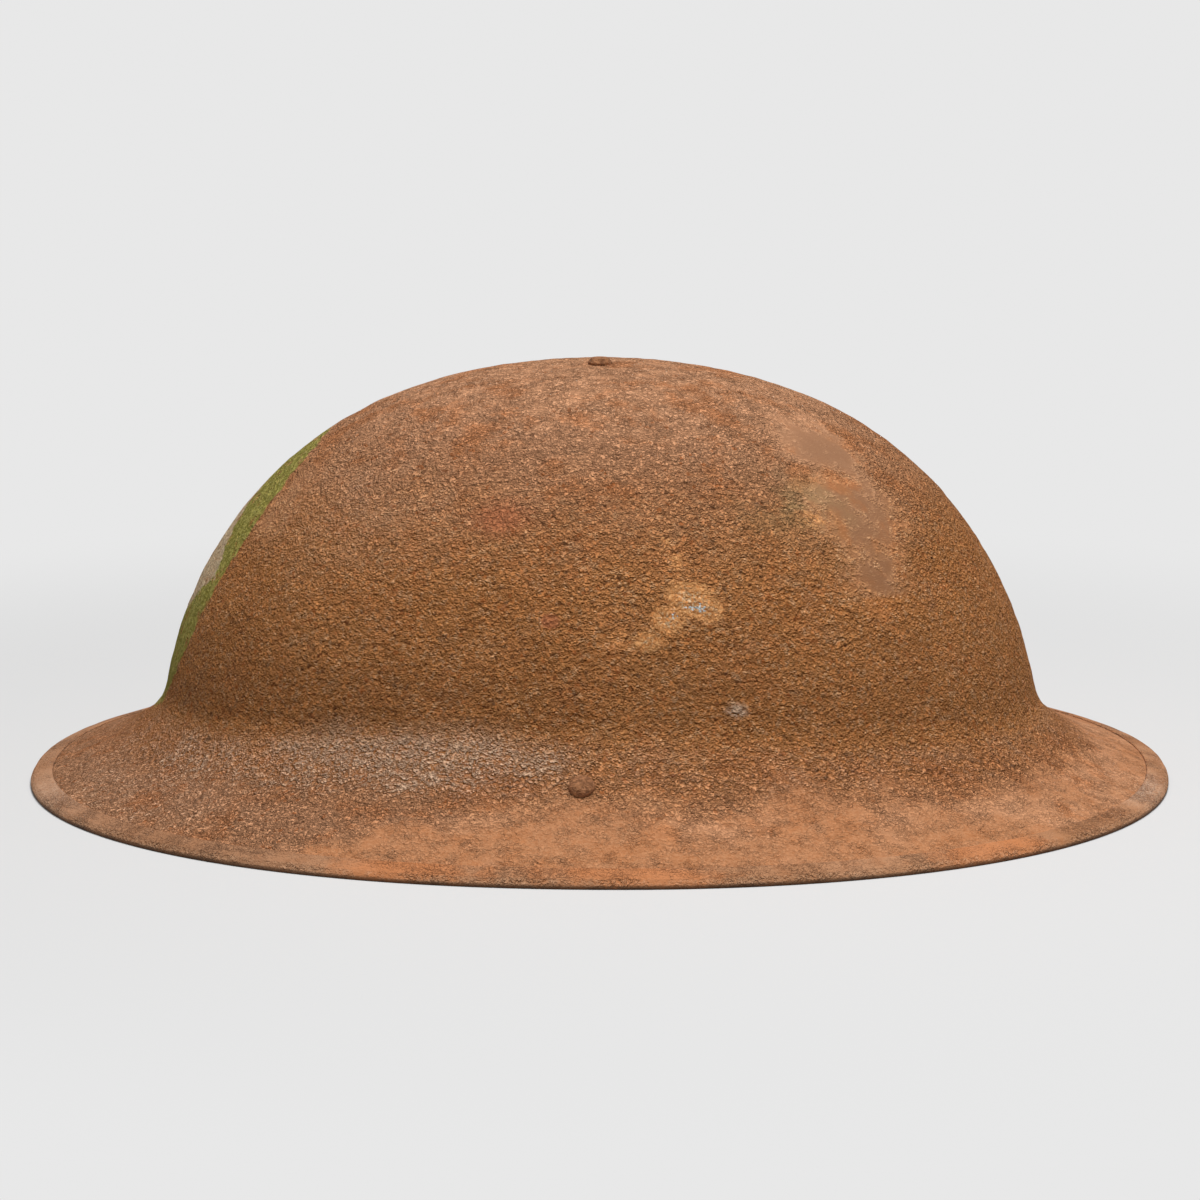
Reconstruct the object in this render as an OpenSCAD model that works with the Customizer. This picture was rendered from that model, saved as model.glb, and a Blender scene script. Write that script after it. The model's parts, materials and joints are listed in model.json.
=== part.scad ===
// Steel helmet with a low dome, a wide flared brim, a riveted liner and a chin strap on two bales.
// Millimetres. +Z is up, the front faces -X, and the rim rests on the plane Z = 0.
// The strap halves lie unbuckled and tucked round the back, inside the brim.

/* [Steel shell] */
// Length over the rim, front to back
rim_len = 305; // [295:1:315]
// Width over the rim
rim_wid = 287; // [280:1:296]
// Squareness of the rim's outline, where 2 is an ellipse
rim_square = 2.1; // [2:0.02:2.2]
// Height of the shell's crown above the rest plane
shell_h = 111.5; // [108:0.5:116]
// Length of the dome's foot, where the brim begins
foot_len = 235; // [229:1:240]
// Width of the dome's foot
foot_wid = 202.5; // [198:0.5:207]
// Height of the dome's foot at the front and back
foot_h_end = 19.5; // [17:0.5:22]
// Height of the dome's foot at the sides
foot_h_side = 29; // [27:0.5:31]
// Fullness of the dome, where 2 is an ellipsoid
dome_fullness = 2.3; // [2.2:0.02:2.4]
// Depth below the foot at which the dome would be widest
dome_tuck = 27; // [24:1:31]
// Sweep of the brim, from 0 for a straight cone to 1 for a brim that falls early
brim_sweep = 0.55; // [0.4:0.01:0.75]
// Curl of the brim, which steepens it near the dome and at the rim
brim_curl = 0.2; // [0:0.01:0.3]
// Reach of the fillet between dome and brim
foot_fillet = 5.5; // [4:0.5:7]
// Thickness of the steel
wall = 0.9; // [0.8:0.05:1.1]

/* [Rim binding] */
// Width of the folded strip along the rim
bind_w = 6; // [5:0.5:8]
// Thickness of the strip
bind_t = 0.5; // [0.4:0.05:0.6]
// Width of the flat on which the rim rests
rest_w = 1; // [0.6:0.1:1.4]

/* [Crown stack] */
// Diameter of the crown rivet's shank
crown_rivet_d = 3.2; // [2.8:0.1:3.6]
// Diameter of its head
crown_head_d = 6.4; // [5.6:0.1:8]
// Height of its head
crown_head_h = 1.7; // [1.2:0.1:2.2]
// Distance from the shell's inner crown down to the liner cap
crown_drop = 11.5; // [9:0.5:13]
// Diameter of the felt crown pad
crown_pad_d = 62; // [50:1:70]
// Diameter of the leather patch under the cap
patch_d = 30; // [24:1:36]
// Thickness of the patch
patch_t = 1.6; // [1:0.1:2]
// Diameter of the washer
washer_d = 12; // [10:0.5:16]
// Thickness of the washer
washer_t = 0.8; // [0.6:0.1:1.2]

/* [Liner] */
// Outer diameter of a rubber buffer tube
tube_d = 9.5; // [9:0.1:10]
// Bore of a buffer tube
tube_bore = 5; // [4.6:0.1:5.4]
// Length of a buffer tube
tube_len = 36; // [30:1:38]
// Number of buffer tubes
tube_count = 12; // [10:1:12]
// Height of the buffers' centre line
tube_z = 38; // [37.5:0.5:39]
// Diameter of the cord through the buffers
buffer_cord_d = 3.4; // [2.8:0.1:3.8]
// Width of a tab that holds the cord
tab_w = 7; // [5:0.5:8]
// Thickness of a tab
tab_t = 1; // [0.8:0.1:1.2]
// Height of the sweatband's lower edge
band_z = 29; // [28.5:0.5:30]
// Height of the sweatband
band_h = 30; // [27:1:31]
// Thickness of the sweatband's leather
band_t = 1.5; // [1.2:0.1:1.8]
// Height of the felt behind the sweatband
felt_h = 23; // [20:1:24]
// Thickness of the felt
felt_t = 2; // [1.6:0.1:2.4]
// Thickness of the oilcloth cap
cap_t = 1; // [0.8:0.1:1.2]

/* [Head net] */
// Number of strands that lean each way
net_strands = 24; // [20:1:26]
// Diameter of the net's twine
twine_d = 1.5; // [1.3:0.1:1.7]
// Diameter of the net's hem cord
hem_d = 2.6; // [2.4:0.1:3]
// Distance from the hem up to the drawn-in end of the net
net_rise = 26; // [22:1:28]
// Radius of the drawn-in end
net_eye_r = 19; // [17:1:22]
// Turn of a strand from hem to eye
net_twist = 55; // [45:1:60]
// Diameter of the drawstring
drawstring_d = 2.4; // [2.2:0.1:2.8]

/* [Bales] */
// Distance of the bales behind the middle of the helmet
bale_x = 4; // [0:1:12]
// Distance of the side rivets outside the dome's foot
rivet_out = 9.9; // [9:0.1:10.5]
// Diameter of a side rivet's shank
side_rivet_d = 3; // [2.6:0.1:3.4]
// Diameter of its domed head
side_head_d = 6.8; // [6:0.1:8]
// Height of its domed head
side_head_h = 2; // [1.6:0.1:2.4]
// Width of a bale clip
clip_w = 12; // [10:0.5:13]
// Thickness of a clip
clip_t = 1; // [0.8:0.1:1.2]
// Distance from the side rivet to the clip's eye
clip_reach = 16; // [15:0.5:16.5]
// Diameter of the bale's wire
wire_d = 2.5; // [2.2:0.1:2.8]
// Width of a bale between its wire centres
bale_w = 22; // [20:0.5:24]

/* [Chin strap] */
// Height of the strap's middle line above the rest plane
strap_z = 10.5; // [10.3:0.1:11]
// Width of the strap
strap_w = 14; // [12:0.5:14.5]
// Thickness of the strap
strap_t = 2; // [1.6:0.1:2.2]
// Width of the strap's narrowed end at its rivet
strap_end_w = 10; // [9:0.5:11]
// Reach of the buckle half behind the bales
strap_reach = 95; // [90:1:97]
// Distance by which the free half lies inside the buckle half
strap_stagger = 4.5; // [4:0.5:6]
// Length of the free half past the middle
strap_tip = 30; // [20:1:40]
// Width of a strap loop
loop_w = 11; // [10:0.5:12]
// Thickness of a strap loop
loop_t = 1.5; // [1.2:0.1:1.7]
// Gap between the strap's edge and the bale's lower bar
loop_play = 0.5; // [0.3:0.1:0.8]
// Diameter of the tubular rivet on which a strap turns
pivot_d = 3; // [2.6:0.1:3.4]
// Diameter of that rivet's heads
pivot_head_d = 6.4; // [5.4:0.2:7]
// Thickness of a rivet's flat head inside the helmet
flat_head_t = 0.7; // [0.5:0.1:0.9]

/* [Buckle] */
// Length of the buckle frame between its bars
buckle_len = 18; // [17:0.5:19]
// Diameter of the frame's wire
buckle_wire_d = 2; // [1.8:0.1:2.2]
// Width of the sliding bar
slider_w = 2.4; // [2:0.1:2.8]
// Thickness of the sliding bar
slider_t = 1.2; // [1:0.1:1.6]
// Length of a sliding bar's sleeve
sleeve_len = 3; // [2.4:0.1:3.4]
// Thickness of a sleeve
sleeve_t = 0.6; // [0.5:0.05:0.7]
// Length of the strap's fold behind the buckle
fold_len = 24; // [22:1:28]
// Distance from the buckle bar to the fold's rivet
fold_rivet_at = 16; // [14:1:18]
// Diameter of the fold's rivet
fold_rivet_d = 2.4; // [2:0.1:2.8]
// Diameter of its heads
fold_head_d = 4.8; // [4:0.2:5.4]
// Width of the keeper along the strap
keeper_w = 8; // [6:0.5:10]
// Thickness of the keeper's leather
keeper_t = 1.4; // [1:0.1:1.8]
// Distance from the fold's end to the keeper
keeper_gap = 3; // [2:0.5:6]

/* [Clearances] */
// Gap between pieces that lie on each other
seat = 0.1; // [0.05:0.05:0.2]
// Gap between soft pieces and what holds them
soft_gap = 0.3; // [0.2:0.05:0.4]
// Radial clearance of a pin that turns or slides
run_gap = 0.06; // [0.03:0.01:0.1]
// Gap between a flat clip or rivet head and the curved steel
curve_gap = 0.4; // [0.3:0.05:0.5]

/* [Hidden] */
$fn = 48;

// Samples: round the helmet, and along the dome, the fillet and the brim
shell_steps = 90;
liner_steps = 60;
dome_steps = 13;
fillet_steps = 3;
brim_steps = 5;
probe = 0.001;

// Direction of the helmet's side, seen from above, with the back at 0
side_turn = 90;

// Shell surface: v runs 0 to 1 down the dome, to 2 over the fillet and to 3 along the brim
edge_top = wall + seat + bind_t;
crown_hole_r = crown_rivet_d / 2 + seat;
side_hole_r = side_rivet_d / 2 + seat;

function polar(a, b, m, t) = pow(pow(abs(cos(t) / a), m) + pow(abs(sin(t) / b), m), -1 / m);
function foot_r(t) = polar(foot_len / 2, foot_wid / 2, 2, t);
function rim_r(t) = polar(rim_len / 2, rim_wid / 2, rim_square, t);
function foot_z(t) = foot_h_end * pow(cos(t), 2) + foot_h_side * pow(sin(t), 2);
function brim_w(t) = rim_r(t) - foot_r(t);
function waist_z(t) = foot_z(t) - dome_tuck;
function dome_h(t) = shell_h - waist_z(t);
function waist_r(t) =
    foot_r(t) / pow(1 - pow(dome_tuck / dome_h(t), dome_fullness), 1 / dome_fullness);
function bulge(x) = pow(1 - pow(x, dome_fullness), 1 / dome_fullness);
function dome_r(z, t) = waist_r(t) * bulge((z - waist_z(t)) / dome_h(t));
function dome_z(r, t) = waist_z(t) + dome_h(t) * bulge(r / waist_r(t));
function dome_pt(q, t) = [waist_r(t) * pow(sin(q), 2 / dome_fullness),
    waist_z(t) + dome_h(t) * pow(cos(q), 2 / dome_fullness)];
function dome_end(t) = acos(pow((dome_tuck + foot_fillet) / dome_h(t), dome_fullness / 2));
function dome_start(r, t) = asin(pow(r / waist_r(t), dome_fullness / 2)) / dome_end(t);
function brim_fall(w) = w + (brim_sweep + brim_curl * (1 - 2 * w)) * w * (1 - w);
function brim_pt(w, t) =
    [foot_r(t) + brim_w(t) * w, foot_z(t) + (edge_top - foot_z(t)) * brim_fall(w)];
function brim_start(t) = foot_fillet / brim_w(t);
function bend(a, b, c, u) = a * pow(1 - u, 2) + b * 2 * u * (1 - u) + c * pow(u, 2);
function fillet_pt(u, t) = bend(dome_pt(dome_end(t), t), [foot_r(t), foot_z(t)],
    brim_pt(brim_start(t), t), u);
function shell_rz(v, t) = v < 1 ? dome_pt(dome_end(t) * v, t)
    : v < 2 ? fillet_pt(v - 1, t)
    : brim_pt(brim_start(t) + (1 - brim_start(t)) * (v - 2), t);
function turned(rz, t) = [rz[0] * cos(t), rz[0] * sin(t), rz[1]];
function shell_pt(v, t) = turned(shell_rz(v, t), t);
function unit(a) = a / norm(a);
function shell_normal(v, t) = unit(cross(shell_pt(v + probe, t) - shell_pt(v - probe, t),
    shell_pt(v, t + 1) - shell_pt(v, t - 1)));
function inset_v(inset, t) = 3 - inset / ((1 - brim_start(t)) * brim_w(t));
bind_insets = [bind_w, bind_w / 2];
function shell_samples(t) = [
    for (i = [0 : dome_steps - 1])
        let (v0 = dome_start(crown_hole_r, t)) v0 + (1 - v0) * i / dome_steps,
    for (i = [0 : fillet_steps - 1]) 1 + i / fillet_steps,
    for (i = [0 : brim_steps - 1]) 2 + (inset_v(bind_w, t) - 2) * i / brim_steps,
    for (inset = bind_insets) inset_v(inset, t),
    inset_v(bind_t + seat, t)];
function shell_section(t) = let (vs = shell_samples(t), last = len(vs) - 1) [
    for (v = vs) shell_pt(v, t),
    for (i = [last : -1 : 0]) shell_pt(vs[i], t) - wall * shell_normal(vs[i], t)];

// A closed ring whose sections all have the same number of points
module ring_solid(sections) {
    n = len(sections);
    m = len(sections[0]);
    polyhedron(
        points = [for (section = sections) each section],
        faces = [for (k = [0 : n - 1], j = [0 : m - 1])
            let (a = k * m + j, b = k * m + (j + 1) % m,
                c = (k + 1) % n * m + (j + 1) % m, d = (k + 1) % n * m + j)
            each [[a, c, b], [a, d, c]]]);
}

// A tube along an open path, closed at both ends
module strand(sections) {
    n = len(sections);
    m = len(sections[0]);
    polyhedron(
        points = [for (section = sections) each section],
        faces = [
            [for (j = [m - 1 : -1 : 0]) j],
            [for (j = [0 : m - 1]) (n - 1) * m + j],
            for (k = [0 : n - 2], j = [0 : m - 1])
                let (a = k * m + j, b = k * m + (j + 1) % m,
                    c = (k + 1) * m + (j + 1) % m, d = (k + 1) * m + j)
                each [[a, b, c], [a, c, d]]]);
}

module steel_shell() {
    color("saddlebrown")
    difference() {
        ring_solid([for (k = [0 : shell_steps - 1]) shell_section(k * 360 / shell_steps)]);
        side_rivet_hole();
        mirror([0, 1, 0]) side_rivet_hole();
    }
}

// Folded strip: upper leaf, outer bend, rest flat, lower leaf, then the inside of the fold
bend_r = 0.3;
function brim_inset(inset, t) = brim_pt(1 - inset / brim_w(t), t);
function brim_off(inset, t, d) = let (
    fall = brim_inset(inset, t) - brim_inset(inset + probe, t),
    off = unit([-fall[1], fall[0]]))
    brim_inset(inset, t) + off * d;
function binding_section(t) = let (
    r = rim_r(t),
    top = seat + bind_t,
    low = -wall - seat,
    outline = [
        for (inset = bind_insets) brim_off(inset, t, top),
        brim_off(bend_r * 2, t, top),
        [r, edge_top],
        [r, edge_top / 2],
        [r - bend_r, 0],
        [r - bend_r - rest_w, 0],
        for (inset = reversed(bind_insets)) brim_off(inset, t, low - bind_t),
        brim_off(bind_w, t, low),
        brim_off(bind_t, t, low),
        brim_off(bind_t, t, seat),
        for (inset = reversed(bind_insets)) brim_off(inset, t, seat)])
    [for (p = outline) turned(p, t)];
module rim_binding() {
    color("saddlebrown")
    ring_solid([for (k = [0 : shell_steps - 1]) binding_section(k * 360 / shell_steps)]);
}

// Liner wall: it follows the dome at the distance that the buffers need
liner_gap = wall + tube_d + soft_gap * 3;
function liner_r(z, t) = dome_r(z, t) - liner_gap;
band_top = band_z + band_h;
felt_z = band_z + 1;
cap_z0 = felt_z + felt_h + soft_gap;
band_out = felt_t + soft_gap;

// Oilcloth cap, whose hem lies on the sweatband's outer face
cap_top = shell_h - wall - crown_drop;
pad_hole_r = crown_rivet_d / 2 + soft_gap;
cap_out = band_out - seat - cap_t;
cap_steps = 8;
function cap_base(t) = liner_r(cap_z0, t) - cap_out;
function cap_h(t) = cap_top - waist_z(t);
function cap_waist(t) = cap_base(t) / bulge((cap_z0 - waist_z(t)) / cap_h(t));
function cap_r(z, t, d) =
    (cap_waist(t) - d) * bulge((z - waist_z(t)) / (cap_h(t) - d));
function cap_z(r, t) = waist_z(t) + cap_h(t) * bulge(r / cap_waist(t));
function cap_low(r) = cap_z(r, side_turn) - cap_t;
function cap_rz(q, t, d) = [(cap_waist(t) - d) * pow(sin(q), 2 / dome_fullness),
    waist_z(t) + (cap_h(t) - d) * pow(cos(q), 2 / dome_fullness)];
function cap_q0(t, d) = asin(pow(pad_hole_r / (cap_waist(t) - d), dome_fullness / 2));
function cap_q1(t, d) =
    acos(pow((cap_z0 - waist_z(t)) / (cap_h(t) - d), dome_fullness / 2));
function cap_line(t, d) = [for (i = [0 : cap_steps])
    turned(cap_rz(cap_q0(t, d) + (cap_q1(t, d) - cap_q0(t, d)) * i / cap_steps, t, d), t)];
function reversed(list) = [for (i = [len(list) - 1 : -1 : 0]) list[i]];
module liner_cap() {
    color([0.09, 0.09, 0.08])
    ring_solid([for (k = [0 : liner_steps - 1]) let (t = k * 360 / liner_steps)
        concat(cap_line(t, 0), reversed(cap_line(t, cap_t)))]);
}

// Crown stack, from the rivet's head down to its clenched end
patch_top = cap_low(patch_d / 2) - soft_gap;
washer_top = patch_top - patch_t - seat;
clench_top = washer_top - washer_t - seat;
clench_h = 1.4;
clench_r = crown_rivet_d;
module crown_rivet() {
    head_low = shell_h + seat / 2;
    color("sienna")
    rotate_extrude()
    polygon([
        [0, head_low + crown_head_h],
        [crown_head_d / 2 - crown_head_h / 2, head_low + crown_head_h],
        [crown_head_d / 2, head_low + crown_head_h / 3],
        [crown_head_d / 2, head_low],
        [crown_rivet_d / 2, head_low],
        [crown_rivet_d / 2, clench_top],
        [clench_r, clench_top],
        [clench_r * 0.7, clench_top - clench_h * 0.8],
        [0, clench_top - clench_h]]);
}

// Felt pad that fills the space between the steel crown and the cap
pad_steps = 5;
function pad_r(i) = pad_hole_r + (crown_pad_d / 2 - pad_hole_r) * i / pad_steps;
pad_edge = 1.5;
module crown_pad() {
    color("dimgray")
    rotate_extrude($fn = 72)
    polygon([
        for (i = [0 : pad_steps]) [pad_r(i),
            dome_z(pad_r(i), side_turn) - wall - soft_gap - (i == pad_steps ? pad_edge : 0)],
        for (i = [pad_steps : -1 : 0]) [pad_r(i) + (i == pad_steps ? pad_edge / 2 : 0),
            cap_z(pad_r(i), 0) + soft_gap + (i == pad_steps ? pad_edge : 0)]]);
}

module crown_patch() {
    color("sienna")
    translate([0, 0, patch_top - patch_t])
    difference() {
        cylinder(d = patch_d, h = patch_t, $fn = 72);
        translate([0, 0, -1]) cylinder(r = pad_hole_r, h = patch_t + 2);
    }
}

module crown_washer() {
    color("gray")
    translate([0, 0, washer_top - washer_t])
    difference() {
        cylinder(d = washer_d, h = washer_t);
        translate([0, 0, -1]) cylinder(r = crown_hole_r, h = washer_t + 2);
    }
}

// A band that follows the liner wall through some heights, between two depths
function band_face(z, t) = z >= cap_z0 ? cap_r(z, t, cap_t) - soft_gap : liner_r(z, t) - band_out;
module felt_band() {
    levels = [felt_z, felt_z + felt_h / 2, felt_z + felt_h];
    color("darkkhaki")
    ring_solid([for (k = [0 : liner_steps - 1]) let (t = k * 360 / liner_steps) concat(
        [for (z = reversed(levels)) turned([liner_r(z, t), z], t)],
        [for (z = levels) turned([liner_r(z, t) - felt_t, z], t)])]);
}
module liner_band() {
    levels = [band_z, felt_z + felt_h / 2, cap_z0, band_top];
    color("peru")
    ring_solid([for (k = [0 : liner_steps - 1]) let (t = k * 360 / liner_steps) concat(
        [for (z = reversed(levels)) turned([band_face(z, t), z], t)],
        [for (z = levels) turned([band_face(z, t) - band_t, z], t)])]);
}

// Buffers: arcs of tube on the osculating circles of one ellipse
run_a = dome_r(tube_z, 0) - wall - soft_gap * 2 - tube_d / 2;
run_b = dome_r(tube_z, side_turn) - wall - soft_gap * 2 - tube_d / 2;
function run_centre(e) = [(pow(run_a, 2) - pow(run_b, 2)) / run_a * pow(cos(e), 3),
    (pow(run_b, 2) - pow(run_a, 2)) / run_b * pow(sin(e), 3)];
function run_radius(e) =
    pow(pow(run_a * sin(e), 2) + pow(run_b * cos(e), 2), 1.5) / (run_a * run_b);
function run_facing(e) = atan2(run_a * sin(e), run_b * cos(e));
tube_step = 360 / tube_count;
cord_sides = 6;
module rubber_buffers() {
    color([0.16, 0.13, 0.12])
    for (k = [0 : tube_count - 1]) {
        e = k * tube_step;
        sweep = tube_len / run_radius(e) * 180 / PI;
        translate([run_centre(e)[0], run_centre(e)[1], tube_z])
        rotate([0, 0, run_facing(e) - sweep / 2])
        rotate_extrude(angle = sweep)
        translate([run_radius(e), 0])
        difference() {
            circle(d = tube_d);
            circle(d = tube_bore);
        }
    }
}

function run_section(e) = [for (j = [0 : cord_sides - 1])
    let (a = -j * 360 / cord_sides, facing = run_facing(e), r = buffer_cord_d / 2)
    [run_a * cos(e) + r * cos(a) * cos(facing), run_b * sin(e) + r * cos(a) * sin(facing),
        tube_z + r * sin(a)]];
module buffer_cord() {
    color("tan")
    ring_solid([for (k = [0 : liner_steps - 1]) run_section(k * 360 / liner_steps)]);
}

// A tab goes round the cord between two buffers and is sewn flat to the felt
tab_flange_h = 9;
tab_ring_r = buffer_cord_d / 2 + soft_gap;
tab_foot = tube_d / 2;
module tab_profile() {
    difference() {
        union() {
            circle(r = tab_ring_r + tab_t);
            translate([-tab_foot, -tab_t]) square([tab_foot, tab_t * 2]);
            translate([-tab_foot, -tab_flange_h / 2]) square([tab_t, tab_flange_h]);
        }
        circle(r = tab_ring_r);
    }
}
function wall_lean(t) = atan2(dome_r(tube_z - 1, t) - dome_r(tube_z + 1, t), 2);
module buffer_tabs() {
    color("dimgray")
    for (k = [0 : tube_count - 1]) {
        e = (k + 0.5) * tube_step;
        translate([run_a * cos(e), run_b * sin(e), tube_z])
        rotate([0, 0, run_facing(e)])
        rotate([0, -wall_lean(e), 0])
        translate([0, tab_w / 2, 0])
        rotate([90, 0, 0])
        linear_extrude(tab_w)
        tab_profile();
    }
}

// Head net: strands that lean both ways between the hem and the drawstring, in two layers
hem_z = band_top - hem_d;
function hem_r(t) = band_face(hem_z, t) - band_t - soft_gap - hem_d / 2;
function net_rz(u, t) = [hem_r(t) + (net_eye_r - hem_r(t)) * u,
    hem_z + net_rise * (1 - pow(1 - u, 2))];
function net_at(u, t0, lean) = let (t = t0 + lean * net_twist * u) turned(net_rz(u, t), t);
function net_dir(u, t0, lean) = unit(net_at(u + probe, t0, lean) - net_at(u - probe, t0, lean));
strand_rings = 7;
strand_sides = 5;
net_layer = twine_d / 2 + seat / 2;
function net_out(u, t0, lean) = let (
    t = t0 + lean * net_twist * u,
    climb = turned(net_rz(u + probe, t), t) - turned(net_rz(u - probe, t), t))
    unit(cross([-sin(t), cos(t), 0], climb));
function strand_section(u, t0, lean) = let (
    out = net_out(u, t0, lean),
    side = unit(cross(net_dir(u, t0, lean), out)),
    up = cross(side, net_dir(u, t0, lean)),
    centre = net_at(u, t0, lean) + out * net_layer * lean)
    [for (j = [0 : strand_sides - 1]) let (a = j * 360 / strand_sides)
        centre + (side * cos(a) + up * sin(a)) * twine_d / 2];
net_start = 0.035;
net_stop = 0.965;
module head_net() {
    color("wheat")
    for (lean = [-1, 1], k = [0 : net_strands - 1])
        strand([for (i = [0 : strand_rings - 1])
            strand_section(net_start + (net_stop - net_start) * i / (strand_rings - 1),
                (k + lean / 4) * 360 / net_strands, lean)]);
}

// A cord that runs once round the helmet's axis
function cord_section(r, z, d, t) = [for (j = [0 : cord_sides - 1])
    let (a = -j * 360 / cord_sides) turned([r + d / 2 * cos(a), z + d / 2 * sin(a)], t)];
module net_hem() {
    color("wheat")
    ring_solid([for (k = [0 : liner_steps - 1]) let (t = k * 360 / liner_steps)
        cord_section(hem_r(t), hem_z, hem_d, t)]);
}
module net_drawstring() {
    eye_steps = 30;
    color("wheat")
    ring_solid([for (k = [0 : eye_steps - 1])
        cord_section(net_eye_r, hem_z + net_rise, drawstring_d, k * 360 / eye_steps)]);
}

// Side rivet and clip, drawn in the plane across the helmet at bale_x
rivet_w = rivet_out / brim_w(side_turn);
rivet_at = brim_pt(rivet_w, side_turn);
further_out = brim_pt(rivet_w + probe, side_turn);
flare_angle = atan2(rivet_at[1] - further_out[1], further_out[0] - rivet_at[0]);
down_flare = [cos(flare_angle), -sin(flare_angle)];
off_flare = [sin(flare_angle), cos(flare_angle)];
eye_in = wire_d / 2 + run_gap;
eye_mid = eye_in + clip_t / 2;
clip_depth = wall + curve_gap + clip_t / 2;
eye_at = rivet_at - down_flare * clip_reach - off_flare * (clip_depth + eye_mid);

// Turns a drawing in (y, z) into a slab across X
module across(width) {
    translate([bale_x - width / 2, 0, 0])
    rotate([90, 0, 90])
    linear_extrude(width)
    children();
}
module at_side_rivet() {
    translate([bale_x, rivet_at[0], rivet_at[1]])
    rotate([-flare_angle, 0, 0])
    children();
}
module side_rivet_hole() {
    at_side_rivet() translate([0, 0, -5]) cylinder(r = side_hole_r, h = 10);
}
clip_foot = 4.5;
module clip() {
    color("gray")
    difference() {
        across(clip_w)
        union() {
            translate(rivet_at - off_flare * clip_depth)
            rotate(-flare_angle)
            translate([-clip_reach, -clip_t / 2])
            square([clip_reach + clip_foot, clip_t]);
            translate(eye_at)
            difference() {
                circle(r = eye_in + clip_t);
                circle(r = eye_in);
            }
        }
        side_rivet_hole();
    }
}
rivet_low = wall + curve_gap + clip_t + seat / 2;
module clip_rivet() {
    color("sienna")
    at_side_rivet()
    rotate_extrude()
    polygon(concat(
        [for (a = [90 : -15 : 0]) [side_head_d / 2 * cos(a), curve_gap / 2 + side_head_h * sin(a)]],
        [[side_rivet_d / 2, curve_gap / 2],
            [side_rivet_d / 2, -rivet_low],
            [side_rivet_d, -rivet_low],
            [side_rivet_d * 0.8, -rivet_low - flat_head_t],
            [0, -rivet_low - flat_head_t]]));
}
module left_clip() { mirror([0, 1, 0]) clip(); }
module right_clip() { clip(); }
module left_clip_rivet() { mirror([0, 1, 0]) clip_rivet(); }
module right_clip_rivet() { clip_rivet(); }

// Wire bale: hinge bar in the clip's eye, two arms and a lower bar
side_y = eye_at[0];
hinge_z = eye_at[1];
pivot_z = strap_z;
loop_drop = strap_w / 2 + loop_play + wire_d / 2;
bar_z = pivot_z + loop_drop;
module wire_rectangle(corners, d) {
    for (i = [0 : 3]) {
        a = corners[i];
        b = corners[(i + 1) % 4];
        along = b - a;
        translate(a) sphere(d = d);
        translate(a)
        rotate([0, acos(along[2] / norm(along)), atan2(along[1], along[0])])
        cylinder(d = d, h = norm(along));
    }
}
module bale() {
    color("gray")
    wire_rectangle([
        [bale_x - bale_w / 2, side_y, hinge_z],
        [bale_x + bale_w / 2, side_y, hinge_z],
        [bale_x + bale_w / 2, side_y, bar_z],
        [bale_x - bale_w / 2, side_y, bar_z]], wire_d);
}
module left_bale() { mirror([0, 1, 0]) bale(); }
module right_bale() { bale(); }

// Leather loop folded round the lower bar, with the strap's end between its leaves
leaf_in = strap_t / 2 + soft_gap / 2;
loop_in = wire_d / 2 + seat;
leaf_out = leaf_in + loop_t;
module along_y(depth) {
    translate([0, side_y + depth / 2, 0])
    rotate([90, 0, 0])
    linear_extrude(depth)
    children();
}
module strap_loop() {
    color("peru")
    difference() {
        intersection() {
            across(loop_w)
            union() {
                difference() {
                    union() {
                        translate([side_y, bar_z]) circle(r = loop_in + loop_t);
                        translate([side_y - leaf_out, pivot_z - loop_w / 2])
                        square([leaf_out * 2, bar_z - pivot_z + loop_w / 2]);
                    }
                    translate([side_y, bar_z]) circle(r = loop_in);
                    translate([side_y - leaf_in, pivot_z - loop_w])
                    square([leaf_in * 2, bar_z - pivot_z + loop_w]);
                }
            }
            along_y(leaf_out * 4)
            union() {
                translate([bale_x, pivot_z]) circle(d = loop_w);
                translate([bale_x - loop_w / 2, pivot_z]) square([loop_w, loop_drop * 2]);
            }
        }
        pivot_hole(seat);
    }
}
module pivot_hole(play) {
    translate([bale_x, side_y + leaf_out * 2, pivot_z])
    rotate([90, 0, 0])
    cylinder(r = pivot_d / 2 + play, h = leaf_out * 4);
}
module loop_rivet() {
    head_at = leaf_out + seat / 2;
    color("darkgoldenrod")
    translate([bale_x, side_y, pivot_z])
    rotate([90, 0, 0])
    rotate_extrude()
    polygon([
        [0, -head_at - flat_head_t],
        [pivot_head_d / 2 - flat_head_t / 2, -head_at - flat_head_t],
        [pivot_head_d / 2, -head_at],
        [pivot_d / 2, -head_at],
        [pivot_d / 2, head_at],
        [pivot_head_d / 2, head_at],
        [pivot_head_d / 2 - flat_head_t / 2, head_at + flat_head_t],
        [0, head_at + flat_head_t]]);
}
module left_strap_loop() { mirror([0, 1, 0]) strap_loop(); }
module right_strap_loop() { strap_loop(); }
module left_loop_rivet() { mirror([0, 1, 0]) loop_rivet(); }
module right_loop_rivet() { loop_rivet(); }

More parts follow.
